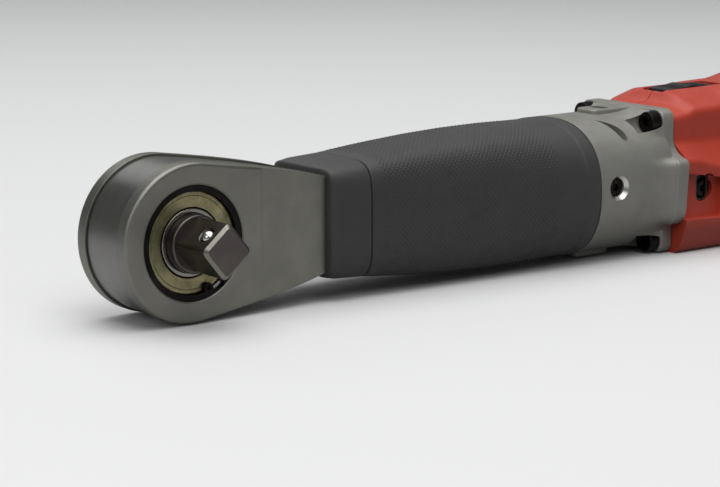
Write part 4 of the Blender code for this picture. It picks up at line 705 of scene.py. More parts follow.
inner = softened([(SHAFT + 0.02, RACE_FACE, 0.35), (INNER_OUT, RACE_FACE, 0.3), (INNER_OUT, RACE_BACK, 0.3),
                  (SHAFT + 0.02, RACE_BACK, 0.3)], 3)
piece("inner_race", lathe(inner, steps=96), "anvil", bearing_steel, ["bearing_inner_race"])

SHIELD_FACE = RACE_FACE + 0.15
pressed = softened([(INNER_OUT + 0.3, SHIELD_FACE + 0.55, 0.1), (INNER_OUT + 0.45, SHIELD_FACE + 0.1, 0.1),
                    (STEP_RADIUS - 0.12, SHIELD_FACE, 0.05), (STEP_RADIUS, SHIELD_FACE + 0.16, 0.04),
                    (STEP_RADIUS + 0.12, SHIELD_FACE, 0.05), (SHIELD_OUT - 0.35, SHIELD_FACE, 0.15),
                    (SHIELD_OUT, SHIELD_FACE + 0.3, 0.1), (SHIELD_OUT, SHIELD_FACE + 0.6, 0.05)], 3)
piece("shield", lathe(pressed, steps=120), "tool", yellow_zinc, ["bearing_shield"])

EYES_AT = math.radians(-57)
EYE_GAP = math.radians(13)
RING_IN = 15.8
RING_OUT = span("bearing_retaining_ring", "X")[1]
EYE = 1.6
ring_outline = []
for radius, order in ((RING_OUT, 1), (RING_IN, -1)):
    turns = [EYES_AT + EYE_GAP / 2 + (2 * math.pi - EYE_GAP) * k / 96 for k in range(97)][::order]
    ring_outline += [polar(radius, a) for a in turns]
steps = []
for side in (-1, 1):
    u, v = polar(RING_IN - 0.6, EYES_AT + side * (EYE_GAP / 2 + EYE / RING_IN))
    steps.append(("UNION", rod(EYE, RING_LOW, RING_HIGH, steps=32, at=(u, 0, v))))
    steps += cuts(rod(0.7, RING_LOW - 1, RING_HIGH + 1, steps=24, at=(u, 0, v)))
ring = carved(plate(ring_outline, [(RING_LOW, 0), (RING_HIGH, 0)]), steps, bevel=0.12, segments=2)
piece("snap_ring", ring, "tool", black_oxide, ["bearing_retaining_ring"])

# %% Square drive, ball and gear
SQUARE = 12.7
SQUARE_TURN = math.radians(39.8)
TIP = span("anvil", "Y")[0]
ROOT = TIP + 15.7
CORNER = 2.0


def turned_square(side, corner):
    """The drive's section in X, Z, turned as it stands in the photo."""
    half = side / 2
    c, s = math.cos(SQUARE_TURN), math.sin(SQUARE_TURN)
    return [(c * u - s * v, s * u + c * v) for u, v in soft_rectangle(-half, -half, half, half, corner, 4)]


out = Vector((-math.sin(SQUARE_TURN), 0, math.cos(SQUARE_TURN)))
ball_low, ball_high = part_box("detent_ball")
ball_middle = (ball_low + ball_high) / 2
BALL = (ball_high[1] - ball_low[1]) / 2 / MM
ball_at = Vector((ball_middle[0], ball_middle[1] - HEAD_Y, ball_middle[2])) / MM
to_face = Vector((0, 0, 1)).rotation_difference(out).to_matrix().to_4x4()
to_ball = Matrix.Translation(ball_at) @ to_face

boss = softened([(0, ROOT, 0), (SHAFT - 0.4, ROOT, 0.3), (SHAFT, ROOT + 0.4, 0.3), (SHAFT, RACE_BACK, 0.0),
                 (0, RACE_BACK, 0)], 4, closed=False)
square = skin([[put("Y", u, v, place) for u, v in turned_square(side, corner)]
               for place, side, corner in ((TIP, SQUARE - 1.9, 1.5), (TIP + 0.95, SQUARE, CORNER),
                                           (ROOT + 1, SQUARE, CORNER))])
pocket = lathe([(0, -8.0), (BALL + 0.12, -8.0), (BALL + 0.12, 1.05), (BALL + 0.75, 1.5),
                (BALL + 0.75, 4), (0, 4)], "Z", 48)
bmesh.ops.transform(pocket, matrix=to_ball, verts=pocket.verts)
anvil = carved(lathe(boss, steps=96), [("UNION", square)] + cuts(pocket), bevel=0.14, segments=2, limit=25)
drive = piece("square_drive", anvil, "anvil", phosphated_steel, ["anvil"])

# The tip's chamfers rub against the sockets, so the phosphate is worn off them.
drive.data.materials.append(worn_steel)
for face in drive.data.polygons:
    normal = face.normal
    across = normal.cross(out).length if abs(normal.y) < 0.2 else 0
    flatness = max(abs(normal.dot(out)), across, abs(normal.y))
    if face.center.y - HEAD_Y < (TIP + 1.05) * MM and flatness < 0.98:
        face.material_index = 1

ball = bmesh.new()
bmesh.ops.create_uvsphere(ball, u_segments=40, v_segments=24, radius=BALL)
bmesh.ops.transform(ball, matrix=to_ball, verts=ball.verts)
piece("drive_ball", ball, "detent_ball", chrome, ["detent_ball"])

# %% [markdown]
# ## The rubber boot
# The boot is two mouldings. A short thick collar with a rounded lip grips the head's neck.
# Behind it the sleeve swells from a slim rounded box to the wide section of the gear case. It is
# lofted through stations of superellipses, whose power says how square the section is. Its rear
# edge has a raised lip line where it meets the casting.

# %% Lofting through superellipses
def rounded_section(half_w, half_h, power, count=96):
    """A superellipse in Y, Z about the line that the boot and the case share."""
    points = []
    for k in range(count):
        a = 2 * math.pi * k / count
        c, s = math.cos(a), math.sin(a)
        points.append((half_w * math.copysign(abs(c) ** (2 / power), c),
                       half_h * math.copysign(abs(s) ** (2 / power), s)))
    return points


def even_section(half_w, half_h, power, count=96):
    """The same section with its points spread evenly along the outline."""
    fine = rounded_section(half_w, half_h, power, count * 12)
    fine.append(fine[0])
    reach = [0.0]
    for first, second in zip(fine, fine[1:]):
        reach.append(reach[-1] + math.dist(first, second))
    points, i = [], 0
    for k in range(count):
        goal = reach[-1] * k / count
        while reach[i + 1] < goal:
            i += 1
        t = (goal - reach[i]) / (reach[i + 1] - reach[i])
        points.append(tuple(a + (b - a) * t for a, b in zip(fine[i], fine[i + 1])))
    return points


def between(stations, x, soft=False):
    """The sizes at one X, from a table of stations: straight between two of them, or eased."""
    if x <= stations[0][0]:
        return stations[0][1:]
    for first, second in zip(stations, stations[1:]):
        if x <= second[0]:
            t = (x - first[0]) / (second[0] - first[0])
            if soft:
                t = t * t * (3 - 2 * t)
            return [a + (b - a) * t for a, b in zip(first[1:], second[1:])]
    return stations[-1][1:]


def tube(stations, wall, count=96):
    """A hollow sleeve: the outer skin through the stations, then the inner one back."""
    outer = [[(x, v, w) for v, w in even_section(a, b, p, count)] for x, a, b, p in stations]
    inner = [[(x, v, w) for v, w in even_section(a - wall, b - wall, p, count)]
             for x, a, b, p in reversed(stations)]
    return skin(outer + inner, ring=True)


# %% Collar and sleeve
COLLAR_START, COLLAR_END = span("boot_collar", "X")
SLEEVE_END = span("boot_sleeve", "X")[1]
collar_rows = [(50.0, 14.6, 16.3, 14), (50.25, 15.2, 17.0, 12), (50.9, 15.75, 17.35, 10),
               (51.8, 16.1, 17.5, 8.5), (54, 17.1, 18.2, 6), (58, 17.25, 18.5, 5.6),
               (62, 17.4, 18.8, 5.2), (64.2, 17.5, 18.95, 5), (64.55, 17.3, 18.75, 5),
               (64.7, 17.0, 18.45, 5)]
collar_bm = skin([[(x, v, w) for v, w in even_section(a, b, p)] for x, a, b, p in collar_rows])
neck_hole = plate([(COLLAR_START - 2, -14.55), (COLLAR_END - 3, -14.25), (COLLAR_END - 3, 14.25),
                   (COLLAR_START - 2, 14.55)], [(FRONT + 0.45, 0), (BACK - 0.45, 0)])
piece("boot_collar_moulding", carved(collar_bm, cuts(neck_hole)), "tool", rubber,
      ["boot_collar"], crease=50)

SLEEVE = [(65, 17.5, 19.0, 5), (82, 18.8, 20.6, 4.5), (100, 20.0, 22.0, 4), (115, 21.2, 22.8, 3.5),
          (130, 22.5, 23.2, 3), (143, 24.2, 23.2, 2.6), (150, 25.2, 23.2, 2.45), (151, 25.7, 23.5, 2.4),
          (156, 25.7, 23.5, 2.4)]
SLEEVE_WALL = 2.6
END_ROUNDING = {65.0: 0.5, 65.25: 0.2, 155.75: 0.18, 156.0: 0.5}
places = [65.0, 65.25, 65.8] + [66 + 2 * k for k in range(1, 42)]
places += [150.1, 150.45, 150.8, 151.2, 153.5, 155.4, 155.75, 156.0]
stations = []
for x in places:
    a, b, p = between(SLEEVE, x)
    ends = END_ROUNDING.get(x, 0)
    stations.append((x, a - ends, b - ends, p))
piece("boot_sleeve_moulding", tube(stations, SLEEVE_WALL), "tool", rubber, ["boot_sleeve"],
      crease=50)

# %% [markdown]
# The boot's skin carries a fine raised pattern of little diamonds over most of its length. They
# are the same shape hundreds of times over, on a surface, so Geometry Nodes place them. Points
# lie in a staggered grid on the sleeve. A four-sided cone with almost no height is instanced on
# each point and turned to stand out from the skin.


# %% A node tree that repeats one mesh on points
def new_tree(name):
    """An empty geometry node tree with its geometry sockets."""
    made = bpy.data.node_groups.new(name, "GeometryNodeTree")
    made.interface.new_socket("Geometry", in_out="INPUT", socket_type="NodeSocketGeometry")
    made.interface.new_socket("Geometry", in_out="OUTPUT", socket_type="NodeSocketGeometry")
    return made


def new_input(tree, name, value):
    """A named number on the tree; gives back the socket's identifier."""
    kind = "NodeSocketInt" if isinstance(value, int) else "NodeSocketFloat"
    if isinstance(value, (tuple, list)):
        kind = "NodeSocketVector"
    socket = tree.interface.new_socket(name, in_out="INPUT", socket_type=kind)
    socket.default_value = value
    return socket.identifier


def run_tree(tree, source, settings):
    """Run a tree on a draft mesh with its inputs set, and give back the plain mesh."""
    draft = placed("draft", source)
    step = draft.modifiers.new("nodes", "NODES")
    step.node_group = tree
    for identifier, value in settings.items():
        step[identifier] = value
    return settled(draft)


def facing_places(places):
    """Tiny faces at the places, each facing its normal, for the trees to read."""
    bm = bmesh.new()
    for place, normal in places:
        along = Vector((0, 0, 1)) if abs(normal[0]) > 0.9 else Vector((1, 0, 0))
        across = Vector(normal).cross(along)
        corners = [Vector(place) + (along * u + across * v) * 0.02 for u, v in rectangle(-1, -1, 1, 1)]
        bm.faces.new([bm.verts.new(corner) for corner in corners])
    return as_mesh("places", bm)


def points_with_normals(tree, geometry):
    """One point on each face, and the faces' normals kept for turning what stands on them."""
    kept = add(tree, "GeometryNodeCaptureAttribute", {"domain": "FACE"}, {"Geometry": geometry})
    kept.capture_items.new("VECTOR", "Normal")
    normal = add(tree, "GeometryNodeInputNormal")
    tree.links.new(normal.outputs[0], kept.inputs["Normal"])
    spread = add(tree, "GeometryNodeMeshToPoints", {"mode": "FACES"}, {"Mesh": kept.outputs["Geometry"]})
    return spread, kept.outputs["Normal"]


def end_tree(tree, copies, finish):
    """End a tree: make the copies real, give them a finish and hand them out."""
    real = add(tree, "GeometryNodeRealizeInstances", links={"Geometry": copies.outputs[0]})
    shown = add(tree, "GeometryNodeSetMaterial", links={"Geometry": real.outputs[0], "Material": finish})
    add(tree, "NodeGroupOutput", links={"Geometry": shown.outputs[0]})


def diamond_tree(finish):
    """Low four-sided studs on the points of a mesh, each turned to its normal."""
    tree = new_tree("diamond_pattern")
    size = new_input(tree, "Diamond size", 0.8)
    height = new_input(tree, "Diamond height", 0.12)
    came = add(tree, "NodeGroupInput")
    top = maths(tree, "MULTIPLY", came.outputs["Diamond size"], 0.35)
    stud = add(tree, "GeometryNodeMeshCone", {"fill_type": "NGON"},
               {"Vertices": 4, "Radius Bottom": came.outputs["Diamond size"], "Radius Top": top,
                "Depth": came.outputs["Diamond height"]})
    spread, normal = points_with_normals(tree, came.outputs["Geometry"])
    turn = add(tree, "FunctionNodeAxesToRotation", {"primary_axis": "Z", "secondary_axis": "X"},
               {"Primary Axis": normal, "Secondary Axis": (1, 0, 0)})
    studs = add(tree, "GeometryNodeInstanceOnPoints",
                links={"Points": spread.outputs[0], "Instance": stud.outputs["Mesh"],
                       "Rotation": turn.outputs[0]})
    end_tree(tree, studs, finish)
    return tree, size, height


# %% Diamonds on the sleeve
PITCH = 1.7
DIAMOND, DIAMOND_RISE = 0.66, 0.09
FIRST_ROW, LAST_ROW = 70.0, 140.0
AROUND = 2 * 78

grid = []
for r in range(int((LAST_ROW - FIRST_ROW) / (PITCH / 2))):
    x = FIRST_ROW + r * PITCH / 2
    section = even_section(*between(SLEEVE, x), AROUND)
    for k in range(r % 2, AROUND, 2):
        y, z = section[k]
        before, after = section[k - 1], section[(k + 1) % AROUND]
        across = Vector((after[1] - before[1], before[0] - after[0])).normalized()
        grid.append(((x, y, z), (0, across.x, across.y)))
print("diamonds:", len(grid))

diamonds, size, height = diamond_tree(rubber)
studs_mesh = run_tree(diamonds, facing_places(grid), {size: DIAMOND, height: DIAMOND_RISE})
hung("boot_diamonds", studs_mesh, "tool", None)

# %% [markdown]
# ## The gear case
# The gear case is a die casting in aluminium. It is one body of several simple forms: a rounded
# box that takes over the boot's section, a flange with an S-shaped rim, a raised pad on top and
# a foot below. Pockets for the screw heads, a curved slit and a port in the side are cut out.
# All of it is joined and cut with Booleans, and then one bevel softens every edge at once, as a
# casting's mould does.

# %% Casting
CASE_START, CASE_END = SLEEVE_END + 0.3, span("gear_case", "X")[1]
CASE_W = 25.5
CASE_H = 23.5
FLANGE_START = CASE_END - 5.0
EAR = CASE_W + 3.2
WAIST = CASE_W - 5.0
PAD_TOP = CASE_H + 1.5


def flange_outline():
    """The end flange in Y, Z: wide ears at mid height with a narrow waist over and under them."""
    right = [(WAIST, -CASE_H - 1.2, 3.0), (WAIST, -14.8, 1.2), (EAR - 1.5, -13.9, 5.2), (EAR, 8.2, 2.4),
             (WAIST, 10.4, 5.9), (WAIST, CASE_H + 1.7, 4.3)]
    left = [(-u, v, reach) for u, v, reach in reversed(right)]
    return softened(right + left, 8)


SCREWS = [(side * y, z) for y, z in ((CASE_W - 9.4, CASE_H - 2.6), (CASE_W - 9.2, 3.1 - CASE_H))
          for side in (-1, 1)]
SCREW_POCKET = (4.05, 179.0, 189.7)
SLIT_STEPS = 14
SLIT_END_SHARE = 0.45


def crescent():
    """The curved slit in the casting's shoulder, narrow at the top and wide at its lower end."""
    loops = []
    surface = math.hypot(CASE_W, CASE_H) * 0.75
    for k in range(SLIT_STEPS + 1):
        t = k / SLIT_STEPS
        a = math.radians(113 + 28.5 * t)
        x = 167.3 + 4.7 * (1 - (1 - t) ** 2.2)
        half = (0.15 + 1.55 * math.sin(0.8 * math.pi * t)) * (SLIT_END_SHARE if k == SLIT_STEPS else 1)
        ends = ((-1, surface - 4), (1, surface - 4), (1, surface + 4), (-1, surface + 4))
        loops.append([(x + sign * half, *polar(reach, a)) for sign, reach in ends])
    return skin(loops)


PORT = (164.5, 1.5)
PORT_BORE, PORT_FLOOR, PORT_MOUTH = 3.2, -20.7, 4.45
FLARE_START, FLARE_END = 175.0, 190.4
BODY_POINTS = 160
rim = flange_outline()


def rim_reach(angle):
    """How far the flange's rim lies from the middle in one direction of Y, Z."""
    way = Vector((math.cos(angle), math.sin(angle)))
    best = 0
    for i in range(len(rim)):
        first, second = Vector(rim[i - 1]), Vector(rim[i])
        edge = second - first
        cross = way.cross(edge)
        if abs(cross) > 1e-9:
            reach, share = first.cross(edge) / cross, first.cross(way) / cross
            if 0 <= share <= 1 and reach > best:
                best = reach
    return best


def case_loop(x):
    """The casting's section at one X: a superellipse that flares out towards the flange's ears."""
    t = max(0, (x - FLARE_START) / (FLARE_END - FLARE_START))
    loop = []
    for v, w in even_section(CASE_W, CASE_H, 2.4, BODY_POINTS):
        reach = math.hypot(v, w)
        grown = reach + max(0, rim_reach(math.atan2(w, v)) - 0.35 - reach) * t ** 2.6
        loop.append((x, v * grown / reach, w * grown / reach))
    return loop


flare_places = [FLARE_START + (FLARE_END - FLARE_START) * k / 12 for k in range(13)]
casting = skin([case_loop(x) for x in [CASE_START] + flare_places])
top_pad = rounded_box((172, -4.5, CASE_H - 3), (190.5, 5.2, PAD_TOP), 2.5, 0.7)
foot = rounded_box((160, -9, -CASE_H - 1.0), (176, 9, -CASE_H + 3), 2.5, 0.5)
pad_recess = rounded_box((176.5, -3.3, CASE_H - 0.6), (181, 3.4, CASE_H + 6), 1.8, 0.0)
flange = plate(rim, [(FLANGE_START, 0.7), (FLANGE_START + 0.2, 0.3), (FLANGE_START + 0.7, 0), (CASE_END, 0)],
               "X")
port = lathe([(0, -CASE_W - 5), (9.1, -CASE_W - 5), (PORT_MOUTH, -CASE_W - 0.05), (PORT_BORE, 1.3 - CASE_W),
              (PORT_BORE, PORT_FLOOR), (0, PORT_FLOOR)], "Y", 64, (PORT[0], 0, PORT[1]))
inside = rod(20, CASE_START + 5, CASE_END + 2, "X", 64, (0, LINE_Y, 0))
steps = [("UNION", flange), ("UNION", top_pad), ("UNION", foot)]
steps += cuts(crescent(), pad_recess, port, inside)
steps += cuts(*[rod(*SCREW_POCKET, "X", 40, (0, y, z)) for y, z in SCREWS])
case_bm = carved(casting, steps, bevel=0.4, segments=3, limit=35)
casting = piece("casting", case_bm, "tool", cast_aluminium, ["gear_case"], crease=40)

# The countersink leaves bright metal at the port's chamfer.
CHAMFER_REACH, CHAMFER_DEPTH, CHAMFER_FACE = 4.7 * MM, 1.5, 2e-6
casting.data.materials.append(machined_aluminium)
port_middle = TO_WORLD @ Vector((PORT[0], -CASE_W, PORT[1]))
for face in casting.data.polygons:
    away = face.center - port_middle
    outside = face.center.y < HEAD_Y - (CASE_W - CHAMFER_DEPTH) * MM
    at_port = math.hypot(away.x, away.z) < CHAMFER_REACH and outside and face.area < CHAMFER_FACE
    if at_port and abs(face.normal.y) < 0.97:
        face.material_index = 1

# %% [markdown]
# ## Screws
# Four cap screws hold the casting to the housing, and four pan-head screws go in through the
# housing's left half. Each kind is one turned form with a six-sided socket, so one small node
# tree places them: it takes the points, turns the screw along its axis, and makes the copies
# real. The casting's port is closed with a set screw, which is placed in the same way.

# %% Screw forms and the tree that places them
def repeatable(name, bm, crease):
    """A shape as an object outside the scene, smooth between its creases, for a tree to copy."""
    mesh = as_mesh(name, bm)
    mesh.shade_smooth()
    mesh.set_sharp_from_angle(angle=math.radians(crease))
    return bpy.data.objects.new(name + "_form", mesh)


def screw_form(head_radius, head_length, socket, soft):
    """A screw head along +Z from its seat at 0, with a hexagonal socket."""
    profile = softened([(0, -0.2, 0), (head_radius, -0.2, 0.1), (head_radius, head_length, soft),
                        (0, head_length, 0)], 5, closed=False)
    hexagon = [polar(socket, math.radians(60 * k)) for k in range(6)]
    key = plate(hexagon, [(head_length * 0.45, 0), (head_length + 1, 0)], "Z")
    head = carved(lathe(profile, "Z", 40), cuts(key), bevel=0.1, segments=2, limit=40)
    return repeatable("screw", head, 34)


def repeat_tree(name, form, finish):
    """Copies of a form on the faces of a mesh, each along its face's normal."""
    tree = new_tree(name)
    size = new_input(tree, "Size", 1.0)
    came = add(tree, "NodeGroupInput")
    source = add(tree, "GeometryNodeObjectInfo", links={"Object": form})
    spread, normal = points_with_normals(tree, came.outputs["Geometry"])
    turn = add(tree, "FunctionNodeAlignRotationToVector", {"axis": "Z"}, {"Vector": normal})
    copies = add(tree, "GeometryNodeInstanceOnPoints",
                 links={"Points": spread.outputs[0], "Instance": source.outputs["Geometry"],
                        "Rotation": turn.outputs[0], "Scale": came.outputs["Size"]})
    end_tree(tree, copies, finish)
    return tree, size


def repeated(name, form, places, body, finish, replaced=()):
    """Run the repeating tree on a list of places and normals, and hang the result."""
    tree, size = repeat_tree(name + "_nodes", form, finish)
    mesh = run_tree(tree, facing_places(places), {size: 1.0})
    bpy.data.objects.remove(form)
    return hung(name, mesh, body, None, replaced)


HEAD_LENGTH = 4.0
CAP_SEAT = span("case_screw_1", "X")[0] + HEAD_LENGTH
SET_SCREW_SEAT = -21.2
repeated("port_set_screw", screw_form(3.1, 2.3, 1.4, 0.3), [((PORT[0], SET_SCREW_SEAT, PORT[1]), (0, -1, 0))],
         "tool", black_oxide)
repeated("case_cap_screws", screw_form(3.65, HEAD_LENGTH, 1.7, 0.5),
         [((CAP_SEAT, y, z), (-1, 0, 0)) for y, z in SCREWS], "tool", black_oxide,
         ["case_screw_1", "case_screw_2", "case_screw_3", "case_screw_4"])

# %% [markdown]
# ## The moulded housing
# Two halves of nylon close round the motor and run back to form the grip. The front is the part
# the photo shows: a flat roof that slopes off, a band sunk behind the casting's corner, and a
# rounded shoulder that dies away towards the back. The section is a polygon with softened
# corners, and its sizes ease from station to station, so the loft has no flat spots.

# %% Sections of the housing
HOUSING_START, HOUSING_END = CASE_END + 0.3, span("housing_left", "X")[1]
HOUSING = ((HOUSING_START, CASE_W + 2.2, FLOOR, CASE_H + 1.0, 6),
           (201, CASE_W + 2.4, FLOOR, CASE_H + 1.8, 6.5),
           (205.5, CASE_W + 2.6, FLOOR, CASE_H + 5.8, 7.5), (220, CASE_W + 3.0, FLOOR, CASE_H + 5.9, 9),
           (244, 29.2, FLOOR, CASE_H + 6.2, 9.5), (270, 30, FLOOR, 31.5, 10), (320, 30, FLOOR, 30, 11),
           (346, 20.5, -22.2, 23.5, 14), (364, 18.5, -20.5, 21.5, 15), (454, 19, -21, 21.5, 15),
           (474, 21.5, -23.5, 24.5, 13), (490, 32, FLOOR, 39, 8), (HOUSING_END, 34, FLOOR, 40, 7))
SHOULDER = ((HOUSING_START, 7.2, 7.8, 13.5), (220, 7.6, 3.0, 12.8), (232, 0, 0, 4), (HOUSING_END, 0, 0, 4))
SLOPES = ((HOUSING_START, 2.0, 7.0, 11.0, 4.5), (201, 2.2, 8.5, 11.0, 4.5), (205.5, 5.1, 11.8, 11.0, 4.5),
          (220, 4.9, 11.8, 11.0, 4.5), (232, 4.9, 18.5, 9.0, 4.8), (250, 5.0, 18.5, 8.0, 5.0),
          (276, 5.9, 5.9, 5.9, 5.9))
ROUNDING = 6
WALL = 2.8


def housing_section(x, grow=0.0):
    """One side of the housing's section as Y, Z, from keel to roof, moved out by an amount."""
    width, low, high, radius = between(HOUSING, x, True)
    band, outer_z, inner_z = between(SHOULDER, x, True)
    width, low, high, radius = width + grow, low - grow, high + grow, max(radius + grow, 1)
    slope = [radius * (2 - math.sqrt(2))] * 4
    if x < SLOPES[-1][0]:
        slope = between(SLOPES, x, True)
    drop, run, keel_drop, keel_run = slope
    reach = radius * (math.sqrt(2) - 1) * 0.99
    return softened([(0, low, 0), (width - keel_run, low, min(reach, 3)), (width, low + keel_drop, reach),
                     (width, outer_z, 1.6), (width - band, inner_z, 1.6),
                     (width - band, high - drop, min(reach, 2.4)),
                     (width - band - run, high, reach), (0, high, 0)], ROUNDING)


def housing_rings():
    """Places along X, closer where the form changes."""
    places = [HOUSING_START + 0.01]
    while places[-1] < HOUSING_END:
        x = places[-1]
        near = any(low < x < high for low, high in ((190, 234), (318, 350), (470, 494)))
        places.append(x + (1.5 if near else 4.0))
    places[-1] = HOUSING_END
    return places


def half_housing(side, split=0.15):
    """The outer form of one half, up to the parting plane."""
    return skin([[(x, side * max(y, split), z) for y, z in housing_section(x)] for x in housing_rings()])


def bay(low, high, steps=5):
    """A hollow inside the housing that leaves an even wall."""
    loops = []
    for k in range(steps + 1):
        x = low + (high - low) * k / steps
        right = housing_section(x, -WALL)
        loops.append([(x, y, z) for y, z in right + [(-y, z) for y, z in reversed(right[1:-1])]])
    return skin(loops)


def side_y(x):
    """Half width of the housing at one X."""
    return between(HOUSING, x, True)[0]


# %% Openings and the two halves
MOTOR_BORE = span("motor_stator", "Z")[1] + 0.3
MOTOR_END = 266.0
BAYS = ((276, 330, 5), (352, 396, 5), (402, 490, 10))
TRIGGER_BAY = ((346, -30, -7.3), (398.6, -8.5, 7.3))
PACK_MIDDLE = (FLOOR + 40) / 2
DISPLAY = (292.0, 6.0, 44.0, 30.0)
BEZEL = 3.5
BUTTONS = (("button_down", 278.0), ("button_power", 292.0), ("button_up", 306.0))
BUTTON_Z = -16.5
SELECTOR_X = 219.5
RECESS = 3.2
HOUSING_SCREWS = ((206.0, -3.0, RECESS + 0.9), (338.0, -12.0, 3.0), (407.0, -4.0, 3.0),
                  (480.0, -16.0, 3.0))
PLUG = (204.6, -2.2, 3.0, 5.0)


def display_outline(grow):
    """The display's outline in X, Z, larger than the glass by an amount."""
    x, z, length, height = DISPLAY
    half_x, half_z, corner = length / 2 + grow, height / 2 + grow, max((2 + grow) * 1.2, 0.4)
    return soft_rectangle(x - half_x, z - half_z, x + half_x, z + half_z, corner, 6)


def plug_outline(grow):
    """The tall oval of the plug round the front screw, in X, Z."""
    x, z, half_x, half_z = PLUG
    u, v = half_x + grow, half_z + grow
    return soft_rectangle(x - u, z - v, x + u, z + v, u * 0.98, 8)


def screw_well(x, z, sink):
    """The counterbore over a housing screw."""
    face = -side_y(x)
    return rod(3.6, face - 6, face + sink + 2.5, "Y", 40, (x, 0, z))


def slot_and_rail():
    """The selector's slot in the roof and the battery's tee slot in the rear face."""
    top = between(HOUSING, SELECTOR_X, True)[2]
    slot = rounded_box((SELECTOR_X - 14.8, -5.3, 26.2), (SELECTOR_X + 14.8, 5.3, top + 8), 0.8, 0)
    mid, end = PACK_MIDDLE, HOUSING_END
    tee = [(end + 2, mid - 12.3), (end + 2, mid + 12.3), (end - 3.4, mid + 12.3), (end - 3.4, mid + 18.3),
           (end - 7.3, mid + 18.3), (end - 7.3, mid - 18.3), (end - 3.4, mid - 18.3), (end - 3.4, mid - 12.3)]
    return cuts(slot, plate(tee[::-1], [(-50, 0), (25, 0)]))


def openings(side):
    """Everything cut from one half, as Boolean steps."""
    bore = rod(MOTOR_BORE, HOUSING_START - 2, MOTOR_END, "X", 64, (0, LINE_Y, 0))
    steps = slot_and_rail() + cuts(bore, *[bay(*place) for place in BAYS], rounded_box(*TRIGGER_BAY, 0.6, 0))
    if side < 0:
        floor = RECESS - side_y(206)
        corners = [(HOUSING_START - 2, -12.5, 0), (214, -13.5, 2.2), (214, 0.5, 2.2),
                   (HOUSING_START - 2, 4, 0)]
        recess = plate(softened(corners, 6), [(floor - 20, 0), (floor - 0.8, 0), (floor - 0.2, 0.25),
                                              (floor, 0.8)])
        wells = [screw_well(*screw) for screw in HOUSING_SCREWS]
        return steps + cuts(recess, *wells, plate(plug_outline(0.0), [(floor - 8, 0), (floor + 3.2, 0)]))
    face = side_y(DISPLAY[0])
    opening = plate(display_outline(BEZEL + 0.3), [(face - 8.3, 0), (face + 10, 0)])
    holes = [rod(4.3, face - 7, face + 10, "Y", 40, (x, 0, BUTTON_Z)) for _, x in BUTTONS]
    return steps + cuts(opening, *holes)


for side, name in ((-1, "left"), (1, "right")):
    shell = carved(half_housing(side), openings(side), bevel=0.35, segments=2, limit=45)
    piece("housing_shell_" + name, shell, "tool", red_nylon, ["housing_" + name], crease=38)

plug_face = RECESS - side_y(206)
plug = carved(plate(plug_outline(-0.15), edge_levels(plug_face + 0.2, plug_face + 3.0, 0.4, 0)),
              cuts(plate(plug_outline(-0.7), [(plug_face - 2, 0), (plug_face + 2.2, 0)])))
piece("screw_plug", plug, "tool", black_nylon)
pan_places = [((x, sink + 2.2 - side_y(x), z), (0, -1, 0)) for x, z, sink in HOUSING_SCREWS]
repeated("housing_pan_screws", screw_form(3.2, 2.2, 1.3, 0.9), pan_places, "tool", black_oxide,
         ["bracket_screw", "housing_screw_1", "housing_screw_2", "housing_screw_3"])

# %% [markdown]
# ## Soft grip
# Each side of the grip has a cover of soft rubber, moulded over the nylon. It stands proud by
# less than two millimetres and thins out towards its rim. Its middle carries the same kind of
# raised diamonds as the boot, so the node tree is used again.

# %% Grip covers
GRIP = (364.0, 464.0)
TRIGGER_END = 398.0
COVER_RISE = 1.6
COVER_RIM = 0.35
DIAMOND_GAP = 1.3


def cover_rise(x, low, high):
    """How far the cover stands proud at one X: a quick soft start at either end."""
    edge = min(x - low, high - x) / 5
    if edge <= 0:
        return COVER_RIM
    return COVER_RIM + COVER_RISE * math.sin(min(edge, 1) * math.pi / 2) ** 0.8


def flank(x, grow):
    """The side of the housing's section, without its keel and roof."""
    return housing_section(x, grow)[ROUNDING + 1:-ROUNDING - 1]


def cover_loop(x, rise):
    """The cover's closed section at one X: its outer skin, then back along the nylon."""
    flat, full = flank(x, 0.05), flank(x, rise)
    outer = []
    for i, (near, far) in enumerate(zip(flat, full)):
        share = min(1, min(i, len(flat) - 1 - i) / 3)
        outer.append(tuple(a + (b - a) * math.sin(share * math.pi / 2) for a, b in zip(near, far)))
    return outer + list(reversed(flank(x, 0.02)))


def on_cover(x, z, rise):
    """The place on the cover's skin at one X, Z, and the direction across the skin there."""
    profile = housing_section(x, rise)
    y = max(v for v, w in profile)
    for first, second in zip(profile, profile[1:]):
        if min(first[1], second[1]) <= z <= max(first[1], second[1]) and first[1] != second[1]:
            t = (z - first[1]) / (second[1] - first[1])
            y = first[0] + (second[0] - first[0]) * t
            across = Vector((second[1] - first[1], first[0] - second[0])).normalized()
    return y, across


for side, name in ((-1, "left"), (1, "right")):
    low, high = (TRIGGER_END + 6 if side < 0 else GRIP[0]), GRIP[1]
    count = int((high - low) / 2)
    loops = []
    for k in range(count + 1):
        x = low + (high - low) * k / count
        loops.append([(x, side * y, z) for y, z in cover_loop(x, cover_rise(x, low, high))])
    piece("grip_skin_" + name, skin(loops), "tool", rubber, ["grip_cover_" + name], crease=55)
    grid = []
    for r in range(int((high - low - 16) / DIAMOND_GAP)):
        x = low + 8 + r * DIAMOND_GAP
        for k in range(-9, 10):
            if (k + r) % 2 == 0:
                z = k * DIAMOND_GAP
                y, across = on_cover(x, z, cover_rise(x, low, high))
                grid.append(((x, side * y, z), (0, side * across.x, across.y)))
    studs_mesh = run_tree(diamonds, facing_places(grid), {size: 0.95, height: 0.35})
    hung("grip_diamonds_" + name, studs_mesh, "tool", None)

# %% [markdown]
# ## Display and buttons
# The display sits in a black frame on the right side. Behind a clear window lies a grey-green
# reflector with dark seven-segment digits. A digit is seven bars, and one table says which bars
# show for which figure, so the digits are built by rule and not drawn one by one.

